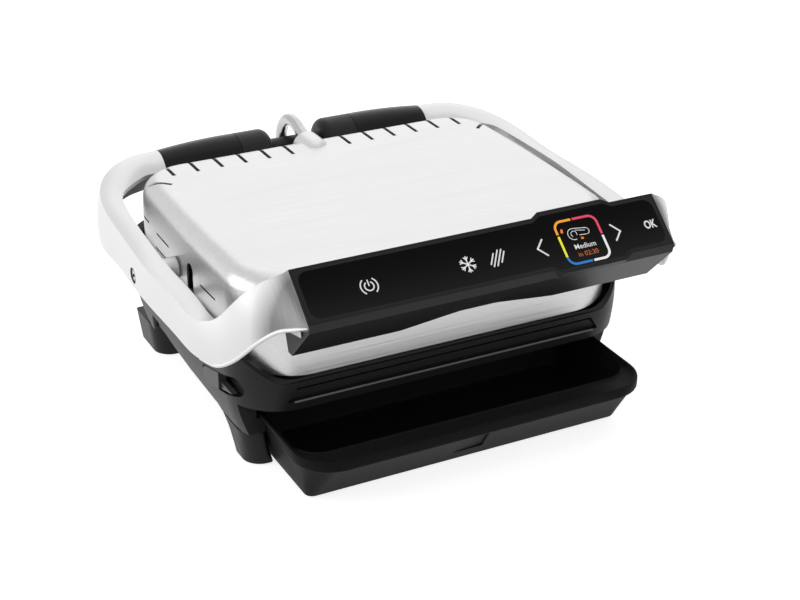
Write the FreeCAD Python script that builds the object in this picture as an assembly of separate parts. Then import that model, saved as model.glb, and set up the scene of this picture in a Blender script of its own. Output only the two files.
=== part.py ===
import FreeCAD, Part
import math
import os
from FreeCAD import Vector

os.makedirs("parts", exist_ok=True)

# Contact grill with a floating lid, drawn closed.
# Millimetres, Z up, front towards -Y, origin on the table under the middle of the grill.

# Fits
running_clearance = 0.05
seat_gap = 0.3
side_gap = 0.4

# Lid skin, pressed from sheet: the size that the others follow
lid_half = 150.5
lid_front = -112.5
lid_length = 240.0
lid_rear = lid_front + lid_length
lid_bottom = 78.5
lid_height = 71.5
lid_top = lid_bottom + lid_height
lid_skin = 1.2
lid_bow = 3.5
lid_draft = 5.0
lid_waist = 32.0
lid_front_corner = 45.0
lid_rear_corner = 38.0
lid_edge_radius = 14.0
slit_width = 3.0
slit_pitch = 19.5
slit_first_x = 24.4
slit_count = 1 + int((lid_half - lid_rear_corner + 10 - slit_first_x) / slit_pitch)
slit_front_y = lid_rear - 31.0
slit_depth = 13.0
corner_slit_x = lid_half - 21.0
corner_slit_y = lid_rear - 46.5
corner_slit_depth = 5.5
louvre_length = 27.0
louvre_height = 1.6
dome_radius = 12.0
dome_front_y = lid_rear - 18.0
dome_z = lid_top - 8.0

# Black lining of the lid
lining_gap = 0.4
lining_wall = 2.4
lining_lip = 3.4
lining_floor = 6.0

# Hinge line at the rear, along X
hinge_y = lid_rear + 26.0
hinge_z = lid_top - 20.0
shaft_radius = 5.0
barrel_radius = 21.0
barrel_end_radius = 18.1
barrel_inner_x = 22.0
barrel_split_x = 49.8
barrel_outer_x = lid_half - 36.9
barrel_crown = 0.6
drum_edge = 7.0
hub_radius = 11.5
hub_half = 20.0

# Wire tube that arches over the hinge
tube_radius = 4.75
tube_bore = 3.4
tube_bend = 24.5
tube_front_slope = 20.0
tube_end_y = lid_rear - 18.5
tube_rear_angle = -48.0
tube_room = 1.2
lug_reach = 31.0
lug_half = 8.0
lug_thick = 14.0
lug_sweep = 5.0
float_room = 12.0

# Plates, heaters and trays, on a plane that falls to the front
plate_slope = 4.5
plate_half = lid_half - 9.5
plate_front = lid_front + 13.5
plate_rear = lid_rear - 26.5
plate_corner = 24.0
plate_parting = lid_bottom - 3.3
plate_floor = 3.0
rib_height = 3.6
rib_width = 4.4
rib_top = 2.0
rib_pitch = 14.0
rib_count = 2 * int((plate_half - rib_pitch) / rib_pitch) + 1
rib_end_gap = 8.0
rib_gap = 0.5
rim_width = 4.0
heater_radius = 3.3
heater_inset = 42.0
heater_pitch = plate_half * 0.4
heater_tail = 26.0
tray_wall = 1.0
tray_depth = 16.0
tray_inset = 6.0
sensor_radius = 5.0
sensor_height = 9.0
spout_half = 26.0
spout_reach = 6.0

# Lower housing
base_half = lid_half + 5.0
base_front = lid_front - 1.0
base_rear = hinge_y - 7.5
base_foot_half = base_half - 9.0
base_front_corner = 40.0
base_rear_corner = 44.0
base_wall = 3.0
base_split = 27.0
shell_depth = 6.0
rim_front_z = lid_bottom - 4.5
cheek_top = lid_bottom + 21.5
well_gap = 1.9
fascia_bottom = rim_front_z - 20.0
fascia_lip = rim_front_z - 13.5
groove_top = rim_front_z - 3.0
groove_depth = 4.0
groove_half = base_half - 31.8
groove_lean = 7.0
bay_rear = lid_front + 74.5
bay_roof = fascia_bottom - 4.5
bay_half = base_half - 18.9
bay_gap = 0.5
foot_front = base_front + 26.5
foot_length = 40.0
foot_taper = 13.0
foot_corner = 14.0
foot_edge = 2.5
foot_draft = 3.5
foot_pad_radius = 6.0
foot_pad_height = 2.0
rear_foot_front = base_rear - 50.0
rear_foot_inner = base_half - 37.5
deck_z = base_split + 6.0
deck_thick = 2.5

# Release lever in the left side of the lower housing
lever_rear_y = base_front + 73.5
lever_rear_z = fascia_bottom + 1.0
lever_front_y = base_front + 25.5
lever_front_z = fascia_bottom + 14.0
lever_pocket = 15.0
lever_depth = 10.0
lever_margin = 1.2
lever_thick = 6.0
lever_stem_radius = 2.5

# Release lever in the right side of the lid
catch_y = lid_front + 66.5
catch_z = cheek_top + 9.0
catch_travel = 4.0
catch_half = 12.0
catch_paddle = 5.0
catch_stem = 10.0

# Mains cable gland at the rear
gland_x = base_half - 63.5
gland_z = fascia_bottom - 2.0
gland_radius = 8.0
gland_collar = 3.0

# Drip drawer
drawer_half = bay_half - 2.1
drawer_front = base_front - 57.0
drawer_rear = bay_rear - 6.0
drawer_rim_z = bay_roof - 7.5
drawer_floor_z = 1.6
drawer_wall = 2.2
drawer_draft = 8.0
drawer_corner = 28.0
drawer_flange = 17.0
drawer_side_flange = 3.0
drawer_flange_height = 3.0
thumb_half = 30.0
thumb_low = 12.0
thumb_high = 30.0
thumb_depth = 0.6
rail_gap = 0.3

# Pivots of the lid between the arms
pivot_y = lid_front + 132.0
pivot_z = lid_bottom + 34.5
pivot_pin_radius = 4.0
boss_radius = 7.8
cap_radius = 6.0
cap_groove = 0.8
bush_length = 12.0
stop_pin_radius = 2.5
stop_pin_y = pivot_y - 26.0
stop_pin_z = pivot_z - 9.0
stop_slot_width = 12.0
stop_slot_low = stop_pin_z - 9.0
stop_slot_high = stop_pin_z + 22.0

# Arms
arm_half = lid_half + 33.0
arm_wall = 3.6
arm_skin = 2.5
arm_root_radius = 18.0
arm_low_z = pivot_z - 12.0
arm_crease_z = pivot_z + 17.6

# Control panel on the front of the arms
panel_half = lid_half - 14.5
panel_slope = 39.4
panel_low_y = lid_front - 68.7
panel_low_z = lid_top + 3.1
panel_width = 40.2
panel_glass = 1.8
panel_seat = panel_glass + 0.6
panel_margin = 5.0
panel_depth_y = panel_low_y + 34.2
panel_depth_z = panel_low_z - 34.6
panel_grip_rise = 4.5
grip_foot = 58.0
grip_flat = 14.0
panel_room = 9.0
display_x = panel_half - 65.0
display_half = 19.0
bump_half = 25.0
bump_ramp = 6.0
bump_rise = 3.6
bump_depth = 5.0

# Circuit boards
board_thick = 1.6
board_post_radius = 3.0
board_post_height = 3.0
power_board_front = base_rear - 94.0
power_board_rear = base_rear - 34.0
power_board_left = -50.0
power_board_right = 60.0

# Longer than the whole grill, for cutting tools
far = 400.0


def box(x0, x1, y0, y1, z0, z1):
    """Block between two corners."""
    return Part.makeBox(x1 - x0, y1 - y0, z1 - z0, Vector(x0, y0, z0))


def rod(x0, x1, y, z, radius):
    """Cylinder along X."""
    return Part.makeCylinder(radius, x1 - x0, Vector(x0, y, z), Vector(1, 0, 0))


def side_prism(points, x0, x1):
    """Side view outline of (y, z) points, run along X."""
    corners = [Vector(x0, y, z) for y, z in points + points[:1]]
    return Part.Face(Part.makePolygon(corners)).extrude(Vector(x1 - x0, 0, 0))


def front_prism(points, y0, y1):
    """Front view outline of (x, z) points, run along Y."""
    corners = [Vector(x, y0, z) for x, z in points + points[:1]]
    return Part.Face(Part.makePolygon(corners)).extrude(Vector(0, y1 - y0, 0))


def moved(shape, x, y, z):
    """A copy of a piece, shifted."""
    copy = shape.copy()
    copy.translate(Vector(x, y, z))
    return copy


def mirrored(shape):
    """The same piece on the other side of the middle."""
    return shape.mirror(Vector(0, 0, 0), Vector(1, 0, 0))


def pair(shape):
    """A piece and its mirror image."""
    return [shape, mirrored(shape)]


def level_edges(shape, z):
    """Edges that lie in the horizontal plane at z."""
    return [e for e in shape.Edges if all(abs(v.Z - z) < 1e-4 for v in e.Vertexes)]


def outline(z, half, front, rear, front_corner, rear_corner, bow=0.0):
    """Closed plan curve with bowed sides, straight ends and round corners."""
    end = half - bow
    middle = (front + rear) / 2
    left = [Vector(-end, rear, z), Vector(-half, middle, z), Vector(-end, front, z)]
    right = [Vector(end, front, z), Vector(half, middle, z), Vector(end, rear, z)]
    edges = [Part.makeLine(left[2], right[0]), Part.makeLine(right[2], left[0])]
    if bow:
        edges += [Part.Arc(*left).toShape(), Part.Arc(*right).toShape()]
    else:
        edges += [Part.makeLine(left[0], left[2]), Part.makeLine(right[0], right[2])]
    slab = Part.Face(Part.Wire(Part.__sortEdges__(edges))).extrude(Vector(0, 0, 1))
    uprights = [e for e in slab.Edges if abs(e.Vertexes[0].Z - e.Vertexes[-1].Z) > 0.5]
    at_front = [e for e in uprights if e.Vertexes[0].Y < middle]
    slab = slab.makeFillet(front_corner, at_front)
    uprights = [e for e in slab.Edges if abs(e.Vertexes[0].Z - e.Vertexes[-1].Z) > 0.5]
    at_rear = [e for e in uprights if abs(e.Vertexes[0].Y - rear) < 0.01]
    slab = slab.makeFillet(rear_corner, at_rear)
    floor = min(slab.Faces, key=lambda face: face.CenterOfMass.z)
    return floor.OuterWire


def tilt(shape, y=plate_front, z=plate_parting):
    """Turn a level piece to the slope of the plates, about a line along X."""
    turned = shape.copy()
    turned.rotate(Vector(0, y, z), Vector(1, 0, 0), plate_slope)
    return turned


def above(z, y=plate_front):
    """All space above the sloping plane that passes through (y, z)."""
    return tilt(box(-far, far, -far, far, z, z + far), y, z)


def tilted_slab(z0, z1, half, front, rear, corner):
    """Round-cornered slab parallel to the plates, between two heights at their front edge."""
    plan = outline(z0, half, front, rear, corner, corner)
    return tilt(Part.Face(plan).extrude(Vector(0, 0, z1 - z0)))


def largest(shape):
    """The biggest solid of a piece, without the scraps that a cut leaves."""
    return max(shape.removeSplitter().Solids, key=lambda solid: solid.Volume)


def save(name, *solids):
    """Write one sub-part, as one solid or as a group of equal pieces."""
    shape = solids[0] if len(solids) == 1 else Part.makeCompound(list(solids))
    shape.exportStep("parts/" + name + ".step")


def lid_form(inset):
    """Outer form of the lid with its dome for the wires, drawn in all round by inset."""
    waist_z = lid_top - lid_waist
    foot_z = lid_bottom - 18.5
    bottom_half = lid_half - lid_draft - inset
    top_half = lid_half - lid_draft / 2 - inset
    front_corner = lid_front_corner - inset
    rear_corner = lid_rear_corner - inset
    sections = [
        outline(foot_z, bottom_half, lid_front + 2 + inset, lid_rear - lid_draft - inset,
                front_corner, rear_corner, lid_bow),
        outline(waist_z, lid_half - inset, lid_front + inset, lid_rear - 1 - inset,
                front_corner, rear_corner, lid_bow),
        outline(lid_top - inset, top_half, lid_front + 3 + inset, lid_rear - inset,
                front_corner, rear_corner, lid_bow),
    ]
    form = Part.makeLoft(sections, True, False)
    form = form.makeFillet(lid_edge_radius - inset, level_edges(form, lid_top - inset))
    radius = dome_radius - inset
    dome = Part.makeCylinder(radius, lid_rear - inset - dome_front_y,
                             Vector(0, dome_front_y, dome_z), Vector(0, 1, 0))
    nose = Part.makeSphere(radius, Vector(0, dome_front_y, dome_z))
    return form.fuse([dome, nose]).removeSplitter()


def wire_way():
    """Room round the front end of the wire tube, open downwards so that the lid can float."""
    half = tube_radius + tube_room
    line = tube_route()[1]
    near = line.valueAt(line.FirstParameter)
    far = line.valueAt(line.LastParameter)
    slope_up = math.tan(math.radians(tube_front_slope))
    ahead = (far - near).normalize()
    round_way = Part.makeCylinder(half, (far - near).Length + 2, near, ahead)
    side = [(far.y - 2, far.z - float_room), (near.y, near.z - float_room),
            (near.y, near.z), (far.y - 2, far.z - 2 * slope_up)]
    return round_way.fuse(side_prism(side, -half, half))


def lid_slits():
    """Slits over the rolled rear edge, with none behind the dome and one across each corner."""
    cuts = []
    for i in range(slit_count):
        x = slit_first_x + slit_pitch * i
        cuts += pair(box(x - slit_width / 2, x + slit_width / 2, slit_front_y,
                         lid_rear + 5, lid_top - slit_depth, lid_top + 5))
    corner = box(-slit_width / 2, slit_width / 2, 0, lid_rear_corner,
                 lid_top - corner_slit_depth, lid_top + 5)
    corner.rotate(Vector(0, 0, 0), Vector(0, 0, 1), -45)
    corner.translate(Vector(corner_slit_x, corner_slit_y, 0))
    return cuts + pair(corner)


def louvres():
    """Thin openings in the lid's two sides."""
    cuts = []
    for y, z in ((75.5, 9.0), (30.5, 7.5), (34.5, -5.0), (-58.5, 4.0)):
        cuts.append(box(lid_half - 12, lid_half + 5, pivot_y + y - louvre_length / 2,
                        pivot_y + y + louvre_length / 2, pivot_z + z,
                        pivot_z + z + louvre_height))
    slot = box(lid_half - 16, lid_half + 5, stop_pin_y - stop_slot_width / 2,
               stop_pin_y + stop_slot_width / 2, stop_slot_low + stop_slot_width / 2,
               stop_slot_high - stop_slot_width / 2)
    ends = [rod(lid_half - 16, lid_half + 5, stop_pin_y, z, stop_slot_width / 2)
            for z in (stop_slot_low + stop_slot_width / 2, stop_slot_high - stop_slot_width / 2)]
    cuts.append(slot.fuse(ends))
    return cuts


def catch_bar(grow):
    """Square bar of the upper release lever, grown by a margin."""
    half = 2.5 + grow
    return box(lid_half - catch_stem - grow, lid_half + catch_paddle - 3, catch_y - half,
               catch_y + half, catch_z - half, catch_z + half)


def make_lid():
    """Steel skin and the black lining that carries the upper plate."""
    holes = louvres()
    holes += [mirrored(cut) for cut in holes]
    skin = lid_form(0).cut(lid_form(lid_skin)).common(above(lid_bottom, lid_front))
    pivot_hole = rod(-lid_half - 5, lid_half + 5, pivot_y, pivot_z, boss_radius)
    catch_slot = catch_bar(seat_gap)
    catch_slot = catch_slot.fuse(moved(catch_slot, 0, 0, -catch_travel)).removeSplitter()
    skin = skin.cut(lid_slits() + holes + [wire_way(), pivot_hole, catch_slot])
    save("lid_shell", skin)
    outer = lid_skin + lining_gap
    lining = lid_form(outer).cut(lid_form(outer + lining_wall)).common(
        above(lid_bottom - lining_lip, lid_front))
    floor_low = lid_bottom - lining_lip
    floor = lid_form(outer).common(above(floor_low, lid_front))
    floor = floor.cut(above(floor_low + lining_floor, lid_front))
    window = tilted_slab(plate_parting - 10, plate_parting + 40, plate_half + seat_gap,
                         plate_front - seat_gap, plate_rear + seat_gap, plate_corner + seat_gap)
    lining = lining.fuse(floor.cut(window)).removeSplitter()
    lining = lining.cut(holes[4:5] + holes[9:10] + [wire_way(), pivot_hole, catch_slot])
    save("lid_lining", lining)
    bush = rod(lid_half - bush_length, lid_half, pivot_y, pivot_z, boss_radius - running_clearance)
    bush = bush.cut(rod(0, far, pivot_y, pivot_z, pivot_pin_radius + running_clearance))
    save("pivot_bushes", *pair(bush))


def slope(shape):
    """Place a piece drawn flat, with Y up the glass, onto the slope of the panel."""
    placed = shape.copy()
    placed.rotate(Vector(0, 0, 0), Vector(1, 0, 0), panel_slope)
    placed.translate(Vector(0, panel_low_y, panel_low_z))
    return placed


def glass_face(grow):
    """Outline of the panel's front, with the bump round the display, grown by a margin."""
    left = display_x - bump_half - grow
    right = display_x + bump_half + grow
    ramp = bump_ramp
    low = -grow
    high = panel_width + grow
    points = [(-panel_half - grow, low), (left - ramp, low), (left, low - bump_rise),
              (right, low - bump_rise), (right + ramp, low), (panel_half + grow, low),
              (panel_half + grow, high), (right + ramp, high), (right, high + bump_rise),
              (left, high + bump_rise), (left - ramp, high), (-panel_half - grow, high)]
    corners = [Vector(x, y, 0) for x, y in points + points[:1]]
    return Part.Face(Part.makePolygon(corners))


def flat_plate(x0, x1, y0, y1, z0, z1):
    """Block given on the panel's slope."""
    return slope(box(x0, x1, y0, y1, z0, z1))


def make_panel():
    """Handle-shaped housing across the front, with its glass, bezel, display and board."""
    glass = glass_face(-1.2)
    save("panel_glass", slope(glass.extrude(Vector(0, 0, -panel_glass))))
    bezel = glass_face(-0.2).extrude(Vector(0, 0, -panel_seat))
    window = glass_face(-1.0).extrude(Vector(0, 0, -panel_glass))
    inner = glass_face(-panel_margin).extrude(Vector(0, 0, -panel_seat))
    bezel = bezel.cut([window, inner]).removeSplitter()
    save("panel_bezel", slope(bezel))

    a = math.radians(panel_slope)
    up = Vector(0, math.cos(a), math.sin(a))
    low = Vector(0, panel_low_y, panel_low_z)
    front_low = low + Vector(0, 1.6, -6.5)
    high = low + up * panel_width

    def section(x, rise):
        points = [front_low, low, high, high + Vector(0, 3.5, -6),
                  Vector(0, panel_depth_y + 5, panel_depth_z + 12),
                  Vector(0, panel_depth_y + 1, panel_depth_z + rise),
                  Vector(0, panel_depth_y - 5, panel_depth_z + rise)]
        corners = [p + Vector(x, 0, 0) for p in points + points[:1]]
        return Part.makePolygon(corners)

    stations = ((-panel_half, 0), (-grip_foot, 0), (-grip_flat, panel_grip_rise),
                (grip_flat, panel_grip_rise), (grip_foot, 0), (panel_half, 0))
    parts = [Part.makeLoft([section(*a), section(*b)], True, True)
             for a, b in zip(stations, stations[1:])]
    housing = parts[0].fuse(parts[1:]).removeSplitter()
    bump_reach = bump_half + bump_ramp
    bump = glass_face(0).extrude(Vector(0, 0, -bump_depth))
    bump = bump.common(box(display_x - bump_reach, display_x + bump_reach, -far, far, -far, far))
    housing = housing.fuse(slope(bump)).removeSplitter()
    housing = housing.cut(slope(glass_face(-0.2).extrude(Vector(0, 0, -panel_seat))))
    edge = panel_margin + 1
    end = panel_half - 2 * panel_margin
    housing = housing.cut(flat_plate(-end, end, edge, panel_width - edge,
                                     -panel_seat - panel_room, 0))
    half = display_half + 2
    housing = housing.cut(flat_plate(display_x - half, display_x + half, 1.5,
                                     panel_width - 1.5, -panel_seat - 6, 0))
    save("panel_housing", housing)
    board_top = -panel_seat - 5
    save("control_board", flat_plate(2 - end, end - 2, edge + side_gap,
                                     panel_width - edge - side_gap, board_top - board_thick,
                                     board_top))
    save("display_module", flat_plate(display_x - display_half, display_x + display_half, 2,
                                      panel_width - 2, board_top, -panel_glass))
    posts = []
    for share in (-0.8, -0.35, 0.1, 0.8):
        foot = Vector(panel_half * share, panel_width / 2, -panel_seat - panel_room)
        height = board_top - board_thick - foot.z
        posts.append(slope(Part.makeCylinder(board_post_radius, height, foot)))
    save("board_posts", *posts)


def l_section(low, crease, inner, low_crown, top_crown, wall):
    """Hollow-backed section: bowed outer wall, bowed top flange, open on the inside."""
    def arc(a, b, crown, out):
        middle = (a + b) * 0.5 + out * crown
        return Part.Arc(a, middle, b).toShape()

    down = (low - crease).normalize()
    across = (inner - crease).normalize()
    across_square = (across - down * across.dot(down)).normalize()
    down_square = (down - across * across.dot(down)).normalize()
    low_in = low + across_square * wall
    inner_in = inner + down_square * wall
    corner_in = crease + (across + down).normalize() * wall * 1.5
    edges = [arc(low, crease, low_crown, -across_square),
             arc(crease, inner, top_crown, -down_square),
             Part.makeLine(inner, inner_in),
             arc(inner_in, corner_in, top_crown, -down_square),
             arc(corner_in, low_in, low_crown, -across_square),
             Part.makeLine(low_in, low)]
    return Part.Wire(edges)


def arm_stations():
    """Outer low edge, crease and inner edge of the right arm, from hinge to panel."""
    def at_rear(inset, y, z):
        return Vector(arm_half - inset, hinge_y + y, hinge_z + z)

    def at_side(inset, y, z):
        return Vector(arm_half - inset, y, z)

    a = math.radians(panel_slope)
    top = Vector(panel_half, panel_low_y + panel_width * math.cos(a),
                 panel_low_z + panel_width * math.sin(a))
    foot = Vector(panel_half, panel_low_y, panel_low_z)

    def at_top(x, y, z):
        return top + Vector(x, y, z)

    def at_foot(x, y, z):
        return foot + Vector(x, y, z)

    root = barrel_outer_x + side_gap
    r = arm_root_radius

    def on_root(degrees):
        angle = math.radians(degrees)
        return Vector(root, hinge_y + r * math.cos(angle), hinge_z + r * math.sin(angle))

    low = arm_low_z
    top_z = arm_crease_z
    return [
        (on_root(-40), on_root(75), on_root(163), 8.3, 5.0),
        (at_rear(46.5, 10, -16), at_rear(48.5, 3, 17), at_rear(46.5, -25, 9.5), 6.0, 4.0),
        (at_rear(24.5, -4, -21), at_rear(27.5, -9, 15), at_rear(31.5, -38, 9.5), 4.0, 3.0),
        (at_rear(12.5, -20, -25), at_rear(16, -22, 12), at_rear(25, -45, 9), 3.0, 2.0),
        (at_rear(4.5, -42, -27), at_rear(8, -41, 8.5), at_rear(21.5, -53, 8), 2.0, 1.5),
        (at_side(2, pivot_y + 45, low + 2), at_side(3, pivot_y + 45, top_z + 2.4),
         at_side(17.2, pivot_y + 45, top_z + 5.2), 1.5, 1.0),
        (at_side(0.5, pivot_y, low + 1.5), at_side(1, pivot_y, top_z + 1),
         at_side(15, pivot_y, top_z + 3.4), 1.0, 0.8),
        (at_side(1, pivot_y - 39.5, low + 0.5), at_side(0, pivot_y - 39.5, top_z),
         at_side(15, pivot_y - 39.5, top_z + 0.6), 1.0, 0.8),
        (at_side(2.5, pivot_y - 84.5, low - 0.5), at_side(2.5, pivot_y - 86.5, top_z - 1.6),
         at_side(16.5, pivot_y - 86.5, top_z - 1.8), 1.0, 0.8),
        (at_foot(43, 83.2, -52.1), at_top(42, 52.6, -50), at_top(31, 53.6, -51), 1.0, 0.8),
        (at_foot(38, 66, -50), at_top(36.5, 39, -44), at_top(30, 43, -45.5), 1.0, 0.6),
        (at_foot(31, 51.7, -41.1), at_top(31, 27.5, -32), at_top(26, 31, -33), 1.2, 0.4),
        (at_foot(21.5, 34.7, -23.1), at_top(24, 14.5, -17), at_top(20.5, 19, -19), 1.5, 0.3),
        (at_foot(13, 21.5, -11), at_top(14, 7, -8), at_top(12.5, 11.5, -11.5), 1.5, 0.3),
        (at_foot(6.5, 9, -5), at_top(6, 1.5, -3), at_top(5.5, 5, -7.5), 1.2, 0.3),
        (at_foot(side_gap, 0, -2), at_top(side_gap, 0, 0), at_top(side_gap, 3.3, -4), 0.5, 0.3),
    ]


def make_arms():
    """Two lofted arms with the bosses that carry the lid."""
    wires = [l_section(low, crease, inner, low_crown, top_crown, arm_wall)
             for low, crease, inner, low_crown, top_crown in arm_stations()]
    arm = Part.makeLoft(wires, True, False)
    skin = arm_half - arm_skin
    boss = rod(lid_half + 1.2, skin, pivot_y, pivot_z, boss_radius)
    pin_hole = rod(lid_half - 20, arm_half + 5, pivot_y, pivot_z,
                   pivot_pin_radius + running_clearance)
    arm = arm.fuse(boss).cut(pin_hole).removeSplitter()
    arm = arm.cut(rod(skin, arm_half + 5, pivot_y, pivot_z, cap_radius))
    save("arm_right", arm)
    save("arm_left", mirrored(arm))
    stop = rod(lid_half - 8, skin, stop_pin_y, stop_pin_z, stop_pin_radius)
    save("float_stop_pins", *pair(max(stop.cut(arm).Solids, key=lambda solid: solid.Volume)))
    save("pivot_pins", *pair(rod(lid_half - bush_length, skin - 0.1, pivot_y, pivot_z,
                                 pivot_pin_radius)))
    cap = rod(skin, arm_half - 0.6, pivot_y, pivot_z, cap_radius - cap_groove)
    save("pivot_caps", *pair(cap))


def tube_route():
    """Centre line of the wire tube, and its radius checked tangent arcs."""
    y0, z0 = hinge_y, hinge_z
    rear = math.radians(tube_rear_angle)
    start = Vector(0, y0 + tube_bend * math.cos(rear), z0 + tube_bend * math.sin(rear))
    top = math.radians(90 + tube_front_slope)
    middle = (rear + top) / 2
    mid = Vector(0, y0 + tube_bend * math.cos(middle), z0 + tube_bend * math.sin(middle))
    leave = Vector(0, y0 + tube_bend * math.cos(top), z0 + tube_bend * math.sin(top))
    run = leave.y - tube_end_y
    end = Vector(0, tube_end_y, leave.z - run * math.tan(math.radians(tube_front_slope)))
    return [Part.Arc(start, mid, leave).toShape(), Part.makeLine(leave, end)]


def tube_solid(radius):
    """Round bar along the tube's route."""
    route = tube_route()
    arc, line = route
    start = arc.valueAt(arc.FirstParameter)
    across = Vector(0, start.y - hinge_y, start.z - hinge_z).normalize()
    ahead = Vector(0, -across.z, across.y)
    ring = Part.Wire(Part.Circle(start, ahead, radius).toShape())
    bend = Part.Wire([arc]).makePipeShell([ring], True, True)
    first = line.valueAt(line.FirstParameter)
    last = line.valueAt(line.LastParameter)
    limb = Part.makeCylinder(radius, (last - first).Length, first, (last - first))
    return bend.fuse(limb).removeSplitter()


def make_hinge():
    """Shaft, barrels, rotating hub and the wire tube that rides on it."""
    reach = barrel_outer_x - 1.0
    save("hinge_shaft", rod(-reach, reach, hinge_y, hinge_z, shaft_radius))
    bore = rod(-far, far, hinge_y, hinge_z, shaft_radius + running_clearance)
    start = barrel_split_x + side_gap
    span = barrel_outer_x - start
    profile = [Part.makeLine(Vector(start, hinge_y, hinge_z),
                             Vector(start, hinge_y, hinge_z + barrel_radius)),
               Part.Arc(Vector(start, hinge_y, hinge_z + barrel_radius),
                        Vector(start + span * 0.55, hinge_y, hinge_z + barrel_radius - barrel_crown),
                        Vector(barrel_outer_x, hinge_y, hinge_z + barrel_end_radius)).toShape(),
               Part.makeLine(Vector(barrel_outer_x, hinge_y, hinge_z + barrel_end_radius),
                             Vector(barrel_outer_x, hinge_y, hinge_z)),
               Part.makeLine(Vector(barrel_outer_x, hinge_y, hinge_z),
                             Vector(start, hinge_y, hinge_z))]
    turned = Part.Face(Part.Wire(profile)).revolve(Vector(0, hinge_y, hinge_z), Vector(1, 0, 0), 360)
    save("hinge_barrels", *pair(turned.cut(bore)))
    hub = rod(-hub_half, hub_half, hinge_y, hinge_z, hub_radius)
    angle = math.radians(tube_rear_angle)
    lug = box(-lug_half, lug_half, 0, lug_reach, -lug_thick / 2, lug_thick / 2)
    lug.rotate(Vector(0, 0, 0), Vector(1, 0, 0), tube_rear_angle)
    lug.translate(Vector(0, hinge_y, hinge_z))
    end_round = rod(-lug_half, lug_half, hinge_y + (lug_reach - 4) * math.cos(angle),
                    hinge_z + (lug_reach - 4) * math.sin(angle), lug_thick / 2)
    hub = hub.fuse([lug.common(rod(-far, far, hinge_y, hinge_z, lug_reach)), end_round])
    tube = tube_solid(tube_radius)
    hub = hub.removeSplitter().cut([bore, tube_solid(tube_radius + running_clearance)])
    save("conduit_hub", largest(hub))
    save("wire_tube", tube.cut(tube_solid(tube_bore)))


def make_towers():
    """Two posts that rise from the lower housing and carry the inner barrels."""
    r = barrel_radius
    low_z = cheek_top
    post = side_prism([(base_rear - 14, low_z), (base_rear - 1, low_z), (hinge_y + r, hinge_z - 6),
                       (hinge_y + r, hinge_z), (hinge_y - r, hinge_z), (hinge_y - r, hinge_z - 8)],
                      barrel_inner_x, barrel_split_x)
    drum = rod(barrel_inner_x, barrel_split_x, hinge_y, hinge_z, r)
    rim = [e for e in drum.Edges if e.BoundBox.XMax < barrel_inner_x + 0.1]
    drum = drum.makeFillet(drum_edge, rim)
    post = post.cut(rod(0, far, hinge_y, hinge_z, r - 0.5))
    tower = post.fuse(drum).removeSplitter()
    tower = tower.cut(rod(-far, far, hinge_y, hinge_z, shaft_radius + running_clearance))
    tower = tower.common(box(barrel_inner_x, barrel_split_x, 0, far, low_z, far))
    save("hinge_towers", *pair(tower))


def plate(ribs_up):
    """Ribbed cooking plate, lying level: floor, raised rim, ribs that run to the front."""
    height = rib_height + plate_floor
    body = Part.Face(outline(0, plate_half, plate_front, plate_rear, plate_corner,
                             plate_corner)).extrude(Vector(0, 0, height))
    inner = Part.Face(outline(plate_floor, plate_half - rim_width, plate_front + rim_width,
                              plate_rear - rim_width, plate_corner - rim_width,
                              plate_corner - rim_width)).extrude(Vector(0, 0, height))
    body = body.cut(inner)
    ribs = []
    ends = (plate_front + rim_width + rib_end_gap, plate_rear - rim_width - rib_end_gap)
    for i in range(rib_count):
        x = (i - (rib_count - 1) / 2) * rib_pitch
        shorter = rib_end_gap if abs(x) > plate_half - plate_corner else 0.0
        ribs.append(front_prism([(x - rib_width / 2, plate_floor - 0.5),
                                 (x + rib_width / 2, plate_floor - 0.5),
                                 (x + rib_top / 2, height), (x - rib_top / 2, height)],
                                ends[0] + shorter, ends[1] - shorter))
    body = body.fuse(ribs).removeSplitter()
    if not ribs_up:
        body = body.mirror(Vector(0, 0, 0), Vector(0, 0, 1))
    return body


def heater_loop(z, radius):
    """Heating element bent into three long legs, with both ends at the rear."""
    left = -heater_pitch * 1.5
    front = plate_front + heater_inset
    rear = plate_rear - heater_inset
    bend = heater_pitch / 2
    bars = []
    for i in range(4):
        x = left + heater_pitch * i
        y1 = rear + heater_tail if i in (0, 3) else rear
        bars.append(Part.makeCylinder(radius, y1 - front, Vector(x, front, z), Vector(0, 1, 0)))
    for i in range(3):
        x = left + heater_pitch * (i + 0.5)
        at_front = i != 1
        y = front if at_front else rear
        ring = Part.makeTorus(bend, radius, Vector(x, y, z), Vector(0, 0, 1))
        y0, y1 = (-far, y) if at_front else (y, far)
        bars.append(ring.common(box(-far, far, y0, y1, -far, far)))
    return bars[0].fuse(bars[1:]).removeSplitter()


def heat_tray(z0, z1, opens_up):
    """Thin steel tray behind a heater, with its flange against the plate."""
    half = plate_half - tray_inset
    front = plate_front + tray_inset
    rear = plate_rear - tray_inset
    corner = plate_corner - tray_inset
    outer = Part.Face(outline(z0, half, front, rear, corner, corner))
    outer = outer.extrude(Vector(0, 0, z1 - z0))
    shift = tray_wall if opens_up else 0.0
    inner = Part.Face(outline(z0 + shift, half - tray_wall, front + tray_wall, rear - tray_wall,
                              corner - tray_wall, corner - tray_wall))
    return outer.cut(inner.extrude(Vector(0, 0, z1 - z0 - tray_wall)))


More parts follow.
